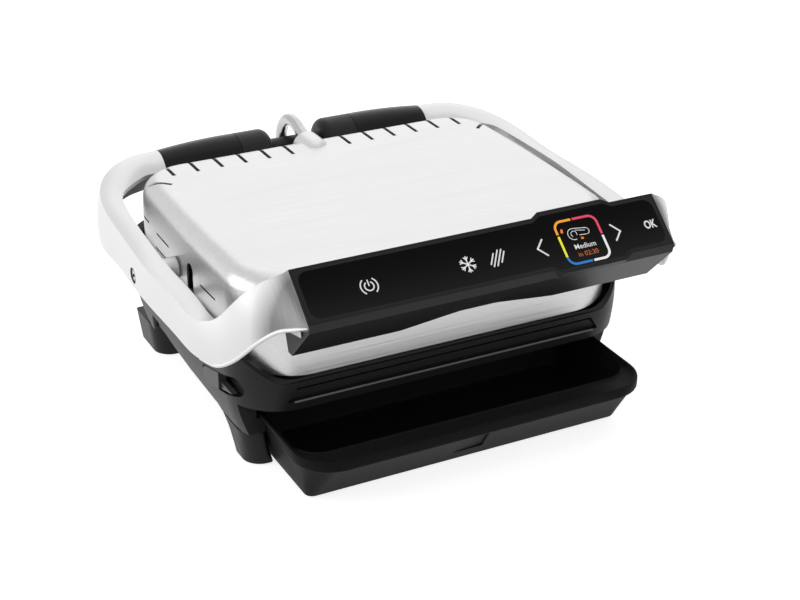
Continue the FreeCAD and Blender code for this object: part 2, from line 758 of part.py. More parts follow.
def make_plates():
    """Lower and upper plate, heater and tray, all on the sloping plane."""
    lower_top = plate_parting - rib_gap / 2
    height = rib_height + plate_floor
    lower = plate(True)
    lower.translate(Vector(0, 0, lower_top - height))
    drain = box(-spout_half, spout_half, plate_front - spout_reach, plate_front + rim_width + 1,
                lower_top - height, lower_top - rib_height + 1.5)
    gutter = box(-spout_half + 2, spout_half - 2, plate_front - spout_reach - 1,
                 plate_front + rim_width + 2, lower_top - rib_height, lower_top + 1)
    lower = lower.fuse(drain).cut(gutter).removeSplitter()
    save("lower_plate", tilt(lower))
    upper = plate(False)
    upper_low = plate_parting + rib_gap / 2
    upper.translate(Vector(0, 0, upper_low + height))
    save("upper_plate", tilt(upper))
    under = lower_top - height
    over = upper_low + height
    save("lower_heater", tilt(heater_loop(under - heater_radius, heater_radius)))
    save("upper_heater", tilt(heater_loop(over + heater_radius, heater_radius)))
    save("lower_heat_tray", tilt(heat_tray(under - tray_depth, under, True)))
    save("upper_heat_tray", tilt(heat_tray(over, over + tray_depth, False)))
    middle = (plate_front + plate_rear) / 2
    save("lower_sensor", tilt(Part.makeCylinder(sensor_radius, sensor_height,
                                                Vector(0, middle, under - sensor_height))))
    save("upper_sensor", tilt(Part.makeCylinder(sensor_radius, sensor_height,
                                                Vector(0, middle, over))))


def base_form(inset, low=base_split):
    """Outer form of the lower housing, drawn in all round by inset."""
    foot = base_foot_half - inset
    half = base_half - inset
    front_corner = base_front_corner - inset
    rear_corner = base_rear_corner - inset
    return Part.makeLoft([
        outline(low, foot, base_front + 3 + inset, base_rear - 4 - inset, front_corner,
                rear_corner, 1.0),
        outline(fascia_bottom, half - 1.5, base_front + 0.5 + inset, base_rear - 1 - inset,
                front_corner, rear_corner, 2.0),
        outline(cheek_top, half, base_front + inset, base_rear - inset, front_corner,
                rear_corner, 3.0),
    ], True, False)


def across(edges):
    """Tool with a closed side view outline, wider than the whole grill."""
    return Part.Face(Part.Wire(edges)).extrude(Vector(2 * far, 0, 0))


def rim_line():
    """Side view of the space above the rim: low at the front, rising to the cheeks."""
    y = base_front
    rise = 26.0
    run = 50.0
    points = [(y - 20, rim_front_z), (y + 2, rim_front_z + 1), (y + 17, rim_front_z + 16.5),
              (y + run, rim_front_z + rise - 0.5), (y + run, cheek_top + far),
              (y - 20, cheek_top + far)]
    p = [Vector(-far, y, z) for y, z in points]
    return across([Part.makeLine(p[0], p[1]), Part.Arc(p[1], p[2], p[3]).toShape(),
                   Part.makeLine(p[3], p[4]), Part.makeLine(p[4], p[5]),
                   Part.makeLine(p[5], p[0])])


def skirt_arch():
    """Side view of the opening under each side, between the feet."""
    low = base_split - 1
    front = foot_front + foot_length
    rear = rear_foot_front
    points = [(front, low), (front + 5, low + 5), (pivot_y - 10, low + 9),
              (pivot_y + 12, low + 13), (rear - 34, low + 20), (rear - 24, low + 22),
              (rear - 16, low + 21), (rear - 1, low)]
    p = [Vector(-far, y, z) for y, z in points]
    return across([Part.makeLine(p[0], p[1]), Part.makeLine(p[1], p[2]),
                   Part.Arc(p[2], p[3], p[4]).toShape(), Part.Arc(p[4], p[5], p[6]).toShape(),
                   Part.makeLine(p[6], p[7]), Part.makeLine(p[7], p[0])])


def lever_recess(x0, x1, grow=0.0):
    """Slanting oblong pocket in a side, given from x0 to x1."""
    start = (lever_rear_y, lever_rear_z)
    end = (lever_front_y, lever_front_z)
    r = lever_pocket / 2 + grow
    ends = [rod(x0, x1, y, z, r) for y, z in (start, end)]
    run = math.hypot(end[0] - start[0], end[1] - start[1])
    ny = -(end[1] - start[1]) / run * r
    nz = (end[0] - start[0]) / run * r
    bar = side_prism([(start[0] + ny, start[1] + nz), (end[0] + ny, end[1] + nz),
                      (end[0] - ny, end[1] - nz), (start[0] - ny, start[1] - nz)], x0, x1)
    return bar.fuse(ends).removeSplitter()


def bay_widths():
    """Half widths of the drawer bay: on the table, under the flange, and at the flange."""
    flange = drawer_half - drawer_side_flange + bay_gap
    slant = drawer_draft / (drawer_rim_z - drawer_floor_z)
    return flange - slant * (drawer_rim_z - drawer_flange_height), flange, bay_half


def make_base():
    """Lower housing with cheeks, groove and fascia, and the bed for the plate inside it."""
    body = base_form(0)
    well = tilted_slab(plate_parting - 10, plate_parting + 60, lid_half + well_gap,
                       base_front + base_wall, lid_rear + 4, base_front_corner - base_wall)
    floor_z = plate_parting - rib_gap / 2 - plate_floor - rib_height
    body = body.cut(well.common(above(floor_z - seat_gap)))
    window = tilted_slab(plate_parting - 40, plate_parting + 5, plate_half - tray_inset + 1,
                         plate_front + tray_inset - 1, plate_rear - tray_inset + 1,
                         plate_corner - tray_inset + 1)
    cavity_top = floor_z - tray_depth - 0.5
    body = body.cut(window.common(above(cavity_top)))
    room = base_form(base_wall, deck_z - 10).cut(above(cavity_top - 2.5))
    body = body.cut(room.common(box(-far, far, bay_rear + base_wall, far, 0, far)))
    body = body.cut(rim_line())
    body = body.cut(box(-far, far, -far, foot_front, 0, fascia_bottom))
    low, flange, high = bay_widths()
    under = drawer_rim_z - drawer_flange_height - rail_gap
    bay = front_prism([(-low, 0), (low, 0), (flange, under), (high, under), (high, bay_roof),
                       (-high, bay_roof), (-high, under), (-flange, under)], -far, bay_rear)
    groove = front_prism([(-groove_half, fascia_lip), (groove_half, fascia_lip),
                          (groove_half - groove_lean, groove_top),
                          (groove_lean - groove_half, groove_top)],
                         base_front - 20, base_front + groove_depth)
    rear_gap = box(-rear_foot_inner, rear_foot_inner, rear_foot_front - 36, far, 0, deck_z)
    body = body.cut([bay, skirt_arch(), groove, rear_gap])
    sweep = lug_reach + lug_sweep
    wire_notch = rod(-lug_half - 2, lug_half + 2, hinge_y, hinge_z, sweep)
    lever_hole = rod(-base_half, -base_half + lever_depth + 20, lever_rear_y, lever_rear_z,
                     lever_stem_radius)
    gland_hole = Part.makeCylinder(gland_radius + running_clearance, 30,
                                   Vector(gland_x, base_rear - 20, gland_z), Vector(0, 1, 0))
    body = body.cut([wire_notch, lever_recess(-base_half - 5, -base_half + lever_depth),
                     lever_hole, gland_hole])
    body = largest(body)
    inside = base_form(shell_depth)
    save("lower_housing", largest(body.cut(inside)))
    chute = box(-spout_half - 4, spout_half + 4, -far, plate_front + 2, 0, far)
    save("plate_bed", largest(body.common(inside).cut(chute)))


def foot_plan(z, inner, outer, front, rear):
    """Plan of a right foot, with a large radius on its outer front corner."""
    slab = box(inner, outer, front, rear, z, z + 1)

    def upright(x, y):
        return [e for e in slab.Edges
                if all(abs(v.X - x) < 0.01 and abs(v.Y - y) < 0.01 for v in e.Vertexes)]

    slab = slab.makeFillet(foot_corner, upright(outer, front))
    slab = slab.makeFillet(foot_edge, upright(inner, front))
    slab = slab.makeFillet(foot_edge, upright(outer, rear))
    return min(slab.Faces, key=lambda face: face.CenterOfMass.z).OuterWire


def make_bottom():
    """Bottom cover, four feet, and their rubber pads."""
    inside = base_form(base_wall + seat_gap)
    floor = inside.common(box(-far, far, bay_rear + base_wall + seat_gap, far, deck_z,
                              deck_z + deck_thick))
    side = box(base_foot_half - 9, base_foot_half - 7, pivot_y, rear_foot_front + 2, deck_z,
               deck_z + 17)
    save("bottom_cover", floor.fuse(pair(side)).removeSplitter())
    feet = []
    pads = []
    top = base_split - seat_gap
    low, flange, high = bay_widths()
    slant = (flange - low) / (drawer_rim_z - drawer_flange_height)
    front_inner = (low + bay_gap, low + slant * top + bay_gap)
    rear_inner = (rear_foot_inner, rear_foot_inner)
    front_ends = (foot_front, foot_front + foot_length)
    rear_ends = (rear_foot_front, base_rear - 8)
    for ends, inner, taper in ((front_ends, front_inner, foot_taper), (rear_ends, rear_inner, 0)):
        front, rear = ends
        outer = base_foot_half - foot_draft
        foot = Part.makeLoft([foot_plan(1.0, inner[0], outer, front, rear - taper),
                              foot_plan(top, inner[1], base_foot_half, front, rear)], True, True)
        pad = Part.makeCylinder(foot_pad_radius, foot_pad_height,
                                Vector((inner[0] + outer) / 2, (front + rear - taper) / 2, 0))
        feet += pair(foot.cut(pad))
        pads += pair(pad)
    save("feet", *feet)
    save("foot_pads", *pads)


def make_drawer():
    """Open drip tray with a broad front flange and drafted walls."""
    def form(z0, z1, inset, flange_cut):
        lean = drawer_draft
        front = drawer_front + flange_cut
        half = drawer_half - drawer_side_flange
        return Part.makeLoft([
            outline(z0, half - lean - inset, front + lean + inset, drawer_rear - lean - inset,
                    14 - inset, 12 - inset),
            outline(z1, half - inset, front + inset, drawer_rear - inset,
                    drawer_corner - 6 - inset, 18 - inset)], True, True)

    low = drawer_floor_z
    top = drawer_rim_z
    tub = form(low, top, 0, 3.0)
    flange = Part.Face(outline(top - drawer_flange_height, drawer_half, drawer_front, drawer_rear,
                               drawer_corner, 20)).extrude(Vector(0, 0, drawer_flange_height))
    hollow = form(low + drawer_wall, top + 0.01, drawer_wall, 3.0 + drawer_flange)
    tub = tub.fuse(flange).cut(hollow)
    lean = form(low, top, thumb_depth, 3.0)
    thumb = box(-thumb_half, thumb_half, drawer_front - 5, drawer_front + 20, thumb_low,
                thumb_high)
    tub = tub.cut(thumb.cut(lean))
    floor_z = low + drawer_wall
    ribs = [box(x - 1, x + 1, drawer_front + 50, drawer_rear - 16, floor_z - 0.2, floor_z + 1.6)
            for x in (-thumb_half * 2, 0, thumb_half * 2)]
    save("drip_drawer", tub.fuse(ribs).removeSplitter())


def make_small_parts():
    """Release levers, cable gland, terminal block and power board."""
    x_out = -base_half + 1.0
    x_in = x_out + lever_thick
    middle_y = (lever_rear_y + lever_front_y) / 2
    middle_z = (lever_rear_z + lever_front_z) / 2
    ledge = lever_recess(x_out + 2, x_in, -lever_margin).common(
        box(-far, far, -far, far, 0, middle_z - 1))
    lever = lever_recess(x_out, x_in, -lever_margin).common(
        box(-far, far, middle_y, far, 0, far)).fuse(ledge)
    stem = rod(x_in, x_in + lever_depth, lever_rear_y, lever_rear_z,
               lever_stem_radius - running_clearance)
    save("lower_release_lever", lever.fuse(stem).removeSplitter())
    paddle = box(lid_half + 0.6, lid_half + catch_paddle, catch_y - catch_half,
                 catch_y + catch_half, catch_z - 4, catch_z + 4)
    outer_edges = [e for e in paddle.Edges if e.BoundBox.XMin > lid_half + catch_paddle - 0.5]
    paddle = paddle.makeFillet(2.0, outer_edges)
    save("upper_release_lever", paddle.fuse(catch_bar(0)).removeSplitter())

    def along_y(radius, y, length):
        return Part.makeCylinder(radius, length, Vector(gland_x, y, gland_z), Vector(0, 1, 0))

    gland = along_y(gland_radius, base_rear - 16, 17)
    collar = along_y(gland_radius + gland_collar, base_rear + 0.2, 4)
    bore = along_y(gland_radius - 3, base_rear - 20, 40)
    save("cable_gland", gland.fuse(collar).cut(bore).removeSplitter())
    deck = deck_z + deck_thick
    save("terminal_block", box(power_board_left - 50, power_board_left - 20, base_rear - 42,
                               base_rear - 30, deck, deck + 14))
    board_z = deck + board_post_height
    top = board_z + board_thick
    save("power_board", box(power_board_left, power_board_right, power_board_front,
                            power_board_rear, board_z, top))
    left = power_board_left
    front = power_board_front
    save("power_relays", box(left + 10, left + 38, front + 8, front + 26, top, top + 12.4),
         box(left + 60, left + 82, front + 18, front + 40, top, top + 9.4))
    save("power_board_posts", *[Part.makeCylinder(board_post_radius, board_post_height,
                                                  Vector(x, y, deck))
                                for x in (left + 6, power_board_right - 6)
                                for y in (front + 6, power_board_rear - 6)])


make_lid()
make_panel()
make_arms()
make_hinge()
make_towers()
make_plates()
make_base()
make_bottom()
make_drawer()
make_small_parts()
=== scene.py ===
"""Looks of the contact grill: finishes for its parts, the panel's symbols, and a photo studio."""

import logging
import math
from dataclasses import dataclass, field
from enum import Enum
from typing import Callable, Iterable, Sequence

import bmesh
import bpy
from mathutils import Matrix, Vector

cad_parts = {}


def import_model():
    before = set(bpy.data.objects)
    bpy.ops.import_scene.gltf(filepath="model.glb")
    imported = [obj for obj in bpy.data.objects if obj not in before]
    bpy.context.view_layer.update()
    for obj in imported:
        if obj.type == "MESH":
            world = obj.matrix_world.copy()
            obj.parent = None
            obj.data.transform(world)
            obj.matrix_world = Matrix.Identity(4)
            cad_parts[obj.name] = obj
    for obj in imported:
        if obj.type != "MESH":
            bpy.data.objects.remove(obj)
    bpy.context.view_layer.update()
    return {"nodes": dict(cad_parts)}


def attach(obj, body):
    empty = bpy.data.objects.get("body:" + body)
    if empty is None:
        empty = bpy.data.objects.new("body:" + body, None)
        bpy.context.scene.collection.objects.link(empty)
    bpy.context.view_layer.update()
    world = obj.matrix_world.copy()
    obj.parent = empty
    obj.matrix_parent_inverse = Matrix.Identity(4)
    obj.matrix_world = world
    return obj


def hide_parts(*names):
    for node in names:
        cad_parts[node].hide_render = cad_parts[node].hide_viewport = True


LOG = logging.getLogger("grill")
MM = 0.001
FULL_SWEEP = 359.9
Colour = tuple[float, float, float]


class Rides(Enum):
    """The moving body that a piece belongs to."""

    BASE = "base"
    FRAME = "frame"
    DRAWER = "drawer"


class Symbol(Enum):
    """The signs that light up on the control panel."""

    POWER = "power"
    FROST = "frost"
    SEAR = "sear"
    BACK = "back"
    NEXT = "next"
    CONFIRM = "confirm"


class Glow(Enum):
    """Colours of the marks on the panel and its display."""

    ORANGE = (0.9, 0.36, 0.03)
    PINK = (0.75, 0.05, 0.12)
    WHITE = (0.85, 0.85, 0.85)
    BLUE = (0.01, 0.17, 0.5)
    YELLOW = (0.85, 0.78, 0.03)
    PALE = (0.75, 0.75, 0.75)
    WARM = (0.85, 0.2, 0.02)
    DIM = (0.5, 0.13, 0.02)


class Socket:
    """A shader value that can be written in plain arithmetic."""

    def __init__(self, kit: "Kit", link: bpy.types.NodeSocket) -> None:
        """Keep the material's kit and the output that this value comes from."""
        self.kit = kit
        self.link = link

    def _math(self, operation: str, *values: "Socket | float") -> "Socket":
        """Add one Math node."""
        return self.kit.node("ShaderNodeMath", {"operation": operation}, dict(enumerate(values)))

    def __add__(self, other: "Socket | float") -> "Socket":
        """Sum."""
        return self._math("ADD", self, other)

    __radd__ = __add__

    def __sub__(self, other: "Socket | float") -> "Socket":
        """Difference."""
        return self._math("SUBTRACT", self, other)

    def __rsub__(self, other: "Socket | float") -> "Socket":
        """Difference from a number."""
        return self._math("SUBTRACT", other, self)

    def __mul__(self, other: "Socket | float") -> "Socket":
        """Product."""
        return self._math("MULTIPLY", self, other)

    __rmul__ = __mul__

    def clamp(self) -> "Socket":
        """The value, held between 0 and 1."""
        return self.kit.node("ShaderNodeClamp", {}, {0: self})


class Kit:
    """One material and the short way to add nodes to it."""

    def __init__(self, name: str) -> None:
        """Start a node material with its shader and Object coordinates.

        Args:
            name: the material's name.
        """
        self.material = bpy.data.materials.new(name)
        self.material.use_nodes = True
        self.tree = self.material.node_tree
        self.shader = self.tree.nodes["Principled BSDF"]
        coordinates = self.tree.nodes.new("ShaderNodeTexCoord")
        self.place = Socket(self, coordinates.outputs["Object"])

    def node(self, kind: str, settings: dict, inputs: dict, output: int | str = 0) -> Socket:
        """Add a node.

        Args:
            kind: the node's type.
            settings: attributes that are set before its sockets.
            inputs: socket name or number to a value or another socket.
            output: which of its outputs is wanted.

        Returns:
            The chosen output, ready for arithmetic.
        """
        made = self.tree.nodes.new(kind)
        for name, value in settings.items():
            setattr(made, name, value)
        for key, value in inputs.items():
            self._fill(made.inputs[key], value)
        return Socket(self, made.outputs[output])

    def _fill(self, target: bpy.types.NodeSocket, value: Socket | float | tuple) -> None:
        """Link a socket to another one, or set its own value.

        Args:
            target: the socket to fill.
            value: what it is linked to, or what it holds.
        """
        if isinstance(value, Socket):
            self.tree.links.new(value.link, target)
        else:
            target.default_value = value

    def stretched(self, scale: Sequence[float]) -> Socket:
        """Object coordinates, scaled along each axis."""
        return self.node("ShaderNodeMapping", {}, {"Vector": self.place, "Scale": tuple(scale)})

    def noise(self, scale: float, detail: float = 3.0, place: Socket | None = None) -> Socket:
        """Soft noise between 0 and 1.

        Args:
            scale: how many blotches to the metre.
            detail: octaves of finer noise.
            place: coordinates to read, or the plain ones.

        Returns:
            The noise's value.
        """
        inputs = {"Vector": place or self.place, "Scale": scale, "Detail": detail}
        return self.node("ShaderNodeTexNoise", {}, inputs, "Fac")

    def mix(self, share: Socket, first: Colour | Socket, second: Colour) -> Socket:
        """Blend from one colour, plain or varying, to a plain one.

        Args:
            share: how much of the second colour shows.
            first: colour where the share is 0.
            second: colour where the share is 1.

        Returns:
            The blended colour.
        """
        start = first if isinstance(first, Socket) else (*first, 1.0)
        inputs = {0: share, 6: start, 7: (*second, 1.0)}
        return self.node("ShaderNodeMix", {"data_type": "RGBA"}, inputs, 2)

    def split(self, place: Socket) -> tuple[Socket, ...]:
        """Take a place apart.

        Args:
            place: coordinates.

        Returns:
            Their X, Y and Z.
        """
        parts = self.tree.nodes.new("ShaderNodeSeparateXYZ")
        self.tree.links.new(place.link, parts.inputs[0])
        return tuple(Socket(self, output) for output in parts.outputs)

    def bump(self, height: Socket, distance: float) -> Socket:
        """Turn a height into a normal."""
        inputs = {"Height": height, "Distance": distance, "Strength": 1.0}
        return self.node("ShaderNodeBump", {}, inputs, "Normal")

    def feed(self, **sockets: Socket | float | tuple) -> None:
        """Set the shader's sockets, where an underscore in a name stands for a space."""
        for name, value in sockets.items():
            self._fill(self.shader.inputs[name.replace("_", " ")], value)


@dataclass(frozen=True)
class MouldedPlastic:
    """Plastic with a fine moulded grain."""

    name: str
    colour: Colour
    roughness: float = 0.45
    grain: float = 0.00006
    grain_scale: float = 1900.0
    gloss: float = 0.2
    cloud_scale: float = 14.0
    paler: float = 1.18
    lift: float = 0.004
    smoother: float = 0.06
    unevenness: float = 0.12

    def material(self) -> bpy.types.Material:
        """Build the material.

        Returns:
            The material, ready to be worn.
        """
        kit = Kit(self.name)
        cloud = kit.noise(self.cloud_scale)
        grain = kit.noise(self.grain_scale, 2.0)
        light = tuple(min(1.0, c * self.paler + self.lift) for c in self.colour)
        kit.feed(Base_Color=kit.mix(cloud, self.colour, light),
                 Roughness=(self.roughness - self.smoother) + self.unevenness * grain,
                 Normal=kit.bump(grain, self.grain), Specular_IOR_Level=self.gloss)
        return kit.material


@dataclass(frozen=True)
class BrushedSteel:
    """Sheet steel brushed from side to side."""

    name: str
    colour: Colour = (0.71, 0.71, 0.715)
    roughness: float = 0.34
    along: float = 9.0
    across: float = 620.0
    broad_along: float = 9.0
    broad_across: float = 40.0
    line_share: float = 0.75
    darker: float = 0.74
    metallic: float = 0.85
    smoother: float = 0.1
    unevenness: float = 0.22
    relief: float = 0.0001

    def material(self) -> bpy.types.Material:
        """Build the material.

        Returns:
            The material, ready to be worn.
        """
        kit = Kit(self.name)
        lines = kit.noise(1.0, 4.0, kit.stretched((self.along, self.across, self.across)))
        broad = kit.noise(1.0, 2.0, kit.stretched((self.broad_along, self.broad_across,
                                                   self.broad_across)))
        dark = tuple(c * self.darker for c in self.colour)
        pattern = lines * self.line_share + broad * (1.0 - self.line_share)
        kit.feed(Base_Color=kit.mix(pattern, dark, self.colour),
                 Metallic=self.metallic,
                 Roughness=(self.roughness - self.smoother) + self.unevenness * lines,
                 Normal=kit.bump(lines, self.relief))
        return kit.material


@dataclass(frozen=True)
class SatinPaint:
    """Silver paint with fine metal flakes, brushed, and greyed by painted shade where the arms
    meet the panel.
    """

    name: str
    colour: Colour = (0.78, 0.78, 0.785)
    # Painted shade: dark grey of the ribbons near the panel.
    ribbon_shade_colour: Colour = (0.2, 0.2, 0.204)
    ribbon_shade_start: float = 0.142
    ribbon_shade_ramp: float = 0.014
    roughness: float = 0.36
    metallic: float = 0.45
    flake_scale: float = 2600.0
    flake_share: float = 0.6
    cloud_scale: float = 11.0
    brush_scale: tuple[float, float, float] = (900.0, 40.0, 40.0)
    brush_least: float = 0.85
    brush_play: float = 0.3
    paler: float = 1.07
    smoother: float = 0.03
    unevenness: float = 0.06
    relief: float = 0.00002

    def material(self) -> bpy.types.Material:
        """Build the material.

        Returns:
            The material, ready to be worn.
        """
        kit = Kit(self.name)
        flakes = kit.noise(self.flake_scale, 1.0)
        cloud = kit.noise(self.cloud_scale)
        lines = kit.noise(1.0, 3.0, kit.stretched(self.brush_scale))
        pale = tuple(min(1.0, c * self.paler) for c in self.colour)
        _, y, _ = kit.split(kit.place)
        # Painted shade: towards the panel the ribbon takes the dark grey, streaked by brush
        # lines, for the dim surround that it mirrors.
        ribbon = ((-1.0 * y - self.ribbon_shade_start) * (1.0 / self.ribbon_shade_ramp)).clamp()
        sparkle = flakes * self.flake_share + cloud * (1.0 - self.flake_share)
        silver = kit.mix(sparkle, self.colour, pale)
        brushed = ribbon * (self.brush_least + self.brush_play * lines)
        kit.feed(Base_Color=kit.mix(brushed, silver, self.ribbon_shade_colour),
                 Metallic=self.metallic,
                 Roughness=(self.roughness - self.smoother) + self.unevenness * cloud,
                 Normal=kit.bump(flakes, self.relief))
        return kit.material


@dataclass(frozen=True)
class TurnedMetal:
    """Bare metal with light, uneven polish."""

    name: str
    colour: Colour
    roughness: float
    rub_scale: float = 160.0
    grain_scale: float = 700.0
    darker: float = 0.82
    smoother: float = 0.05
    unevenness: float = 0.1
    relief: float = 0.00002

    def material(self) -> bpy.types.Material:
        """Build the material.

        Returns:
            The material, ready to be worn.
        """
        kit = Kit(self.name)
        rub = kit.noise(self.rub_scale, 4.0)
        dark = tuple(c * self.darker for c in self.colour)
        kit.feed(Base_Color=kit.mix(rub, dark, self.colour), Metallic=1.0,
                 Roughness=(self.roughness - self.smoother) + self.unevenness * rub,
                 Normal=kit.bump(kit.noise(self.grain_scale), self.relief))
        return kit.material


@dataclass(frozen=True)
class BlackGlass:
    """Deep black glass of the panel, paler towards its low edge by a painted reflection, with a
    faint haze.
    """

    name: str
    colour: Colour = (0.003, 0.003, 0.0035)
    haze_and_reflection_colour: Colour = (0.03, 0.03, 0.031)
    haze_scale: float = 30.0
    low_reflection_share: float = 0.8
    haze_share: float = 0.05
    roughness: float = 0.16
    unevenness: float = 0.05
    gloss: float = 0.04

    def material(self) -> bpy.types.Material:
        """Build the material.

        Returns:
            The material, ready to be worn.
        """
        kit = Kit(self.name)
        _, y, z = kit.split(kit.place)
        # Painted reflection: the glass turns a paler grey towards its low edge, where light is
        # mirrored in it.
        rise = (y * (1.0 / MM) - PANEL.low_y) * math.cos(PANEL.slope)
        rise = rise + (z * (1.0 / MM) - PANEL.low_z) * math.sin(PANEL.slope)
        low = (1.0 - rise * (1.0 / PANEL.width)).clamp()
        haze = kit.noise(self.haze_scale)
        share = low * low * self.low_reflection_share + haze * self.haze_share
        kit.feed(Base_Color=kit.mix(share, self.colour, self.haze_and_reflection_colour),
                 Roughness=self.roughness + self.unevenness * haze,
                 Specular_IOR_Level=self.gloss)
        return kit.material


@dataclass(frozen=True)
class Lit:
    """A printed or lit mark that shows its colour by itself."""

    name: str
    colour: Colour
    glow: float = 0.35
    cloud_scale: float = 400.0
    dimmer: float = 0.93
    roughness: float = 0.4

    def material(self) -> bpy.types.Material:
        """Build the material.

        Returns:
            The material, ready to be worn.
        """
        kit = Kit(self.name)
        cloud = kit.noise(self.cloud_scale)
        dim = tuple(c * self.dimmer for c in self.colour)
        shade = kit.mix(cloud, dim, self.colour)
        kit.feed(Base_Color=shade, Emission_Color=shade, Emission_Strength=self.glow,
                 Roughness=self.roughness)
        return kit.material


Finish = MouldedPlastic | BrushedSteel | SatinPaint | TurnedMetal


@dataclass(frozen=True)
class PanelPlace:
    """Where the sloping panel lies, in millimetres of the grill's frame."""

    low_y: float = -181.2
    low_z: float = 153.1
    width: float = 40.2
    slope: float = math.radians(39.4)
    display_x: float = 71.0
    bump_foot: float = 31.0
    bump_ramp: float = 6.0
    bump_rise: float = 3.6


PANEL = PanelPlace()


def ready(obj: bpy.types.Object) -> None:
    """Deselect everything and make one object the active one.

    Args:
        obj: the object.
    """
    bpy.ops.object.select_all(action="DESELECT")
    obj.select_set(True)
    bpy.context.view_layer.objects.active = obj


def settle(obj: bpy.types.Object) -> None:
    """Apply the object's place, so that it lies in the mesh."""
    ready(obj)
    bpy.ops.object.transform_apply(location=True, rotation=True, scale=True)


def apply_modifiers(obj: bpy.types.Object) -> None:
    """Apply every modifier in order.

    Args:
        obj: the object that carries them.
    """
    ready(obj)
    for modifier in list(obj.modifiers):
        bpy.ops.object.modifier_apply(modifier=modifier.name)


def smooth(degrees: float) -> None:
    """Shade the selected piece smooth where its faces meet at less than an angle."""
    bpy.ops.object.shade_smooth_by_angle(angle=math.radians(degrees))


def coat(obj: bpy.types.Object, material: bpy.types.Material) -> None:
    """Give a piece one material and no other."""
    obj.data.materials.clear()
    obj.data.materials.append(material)


def begin(name: str, primitive: Callable[..., set[str]], **settings: object) -> bpy.types.Object:
    """Add a primitive with nothing else selected.

    Args:
        name: the piece's name.
        primitive: the operator that adds it.
        settings: what the operator is given.

    Returns:
        The new object.
    """
    bpy.ops.object.select_all(action="DESELECT")
    primitive(**settings)
    made = bpy.context.object
    made.name = name
    return made


@dataclass(frozen=True)
class SoftBox:
    """One square lamp that looks at the grill."""

    name: str
    place: tuple[float, float, float]
    size: float
    power: float

    def hang(self) -> None:
        """Add the lamp to the scene."""
        data = bpy.data.lights.new(self.name, "AREA")
        data.size = self.size
        data.energy = self.power
        lamp = bpy.data.objects.new(self.name, data)
        bpy.context.scene.collection.objects.link(lamp)
        lamp.location = self.place
        lamp.rotation_mode = "QUATERNION"
        lamp.rotation_quaternion = Vector(self.place).to_track_quat("Z", "Y")


@dataclass
class Studio:
    """Pale floor, soft light and the camera of the photograph."""

    camera_at: Vector = field(default_factory=lambda: Vector((-514.4, -1047.1, 636.3)) * MM)
    yaw_degrees: float = 26.979
    pitch_degrees: float = 26.244
    lens: float = 77.4
    near_clip: float = 0.05
    floor_size: float = 12.0
    floor_drop: float = 0.0002
    floor_grey: float = 0.25
    floor_roughness: float = 0.9
    floor_glow: float = 0.8
    shadow_share: float = 0.8
    world_strength: float = 0.40
    lamps: tuple[SoftBox, ...] = (
        SoftBox("left", (-1.5, 0.3, 0.35), 1.2, 10.0),
        SoftBox("above", (0.3, 0.5, 1.6), 1.2, 2.0),
        SoftBox("behind", (0.75, 1.6, 0.95), 1.6, 4.0),
        SoftBox("front", (0.5, -1.6, 0.7), 1.0, 2.0))

    def build_floor(self) -> None:
        """Lay the floor: white to the camera and in reflections, dull grey to other light."""
        floor = begin("floor", bpy.ops.mesh.primitive_plane_add, size=self.floor_size,
                      location=(0, 0, -self.floor_drop))
        settle(floor)
        kit = Kit("floor_white")
        kit.feed(Base_Color=(*[self.floor_grey] * 3, 1.0), Roughness=self.floor_roughness)
        tree = kit.tree
        shade = tree.nodes.new("ShaderNodeBsdfDiffuse")
        shade.inputs["Color"].default_value = (*[self.shadow_share] * 3, 1.0)
        glow = tree.nodes.new("ShaderNodeEmission")
        glow.inputs["Strength"].default_value = self.floor_glow
        pale = tree.nodes.new("ShaderNodeAddShader")
        tree.links.new(shade.outputs[0], pale.inputs[0])
        tree.links.new(glow.outputs[0], pale.inputs[1])
        self._shown(tree, kit.shader.outputs[0], pale.outputs[0], "ShaderNodeOutputMaterial")
        floor.data.materials.append(kit.material)

    def build_world(self) -> None:
        """Surround that is white to the camera and in reflections, and dimmer to other light."""
        world = bpy.data.worlds.new("studio")
        bpy.context.scene.world = world
        world.use_nodes = True
        tree = world.node_tree
        back = tree.nodes["Background"]
        back.inputs["Strength"].default_value = self.world_strength
        white = tree.nodes.new("ShaderNodeBackground")
        for background in (back, white):
            background.inputs["Color"].default_value = (1.0, 1.0, 1.0, 1.0)
        self._shown(tree, back.outputs[0], white.outputs[0], "ShaderNodeOutputWorld")

    def _shown(self, tree: bpy.types.NodeTree, dim: bpy.types.NodeSocket,
               bright: bpy.types.NodeSocket, output_kind: str) -> None:
        """Show one shader to the camera and in reflections, and another to other light.

        Args:
            tree: nodes of the floor or the world.
            dim: shader that all other light meets.
            bright: shader that the camera and reflections see.
            output_kind: type of the node that both end in.
        """
        path = tree.nodes.new("ShaderNodeLightPath")
        mix = tree.nodes.new("ShaderNodeMixShader")
        either = tree.nodes.new("ShaderNodeMath")
        either.operation = "MAXIMUM"
        output = next(node for node in tree.nodes if node.bl_idname == output_kind)
        for source, target in ((path.outputs["Is Camera Ray"], either.inputs[0]),
                               (path.outputs["Is Glossy Ray"], either.inputs[1]),
                               (either.outputs[0], mix.inputs[0]),
                               (dim, mix.inputs[1]),
                               (bright, mix.inputs[2]),
                               (mix.outputs[0], output.inputs["Surface"])):
            tree.links.new(source, target)

    def build_camera(self) -> None:
        """Set the camera where the photograph was taken."""
        data = bpy.data.cameras.new("photo_camera")
        data.lens = self.lens
        data.clip_start = self.near_clip
        camera = bpy.data.objects.new("photo_camera", data)
        bpy.context.scene.collection.objects.link(camera)
        camera.location = self.camera_at
        tilt = math.radians(90.0 - self.pitch_degrees)
        camera.rotation_euler = (tilt, 0.0, -math.radians(self.yaw_degrees))
        bpy.context.scene.camera = camera

    def build(self) -> None:
        """Build the whole studio, with its lamps strong at the left and weak in front."""
        self.build_camera()
        self.build_floor()
        self.build_world()
        for lamp in self.lamps:
            lamp.hang()
        bpy.context.scene.view_settings.view_transform = "Standard"
        LOG.info("studio ready")


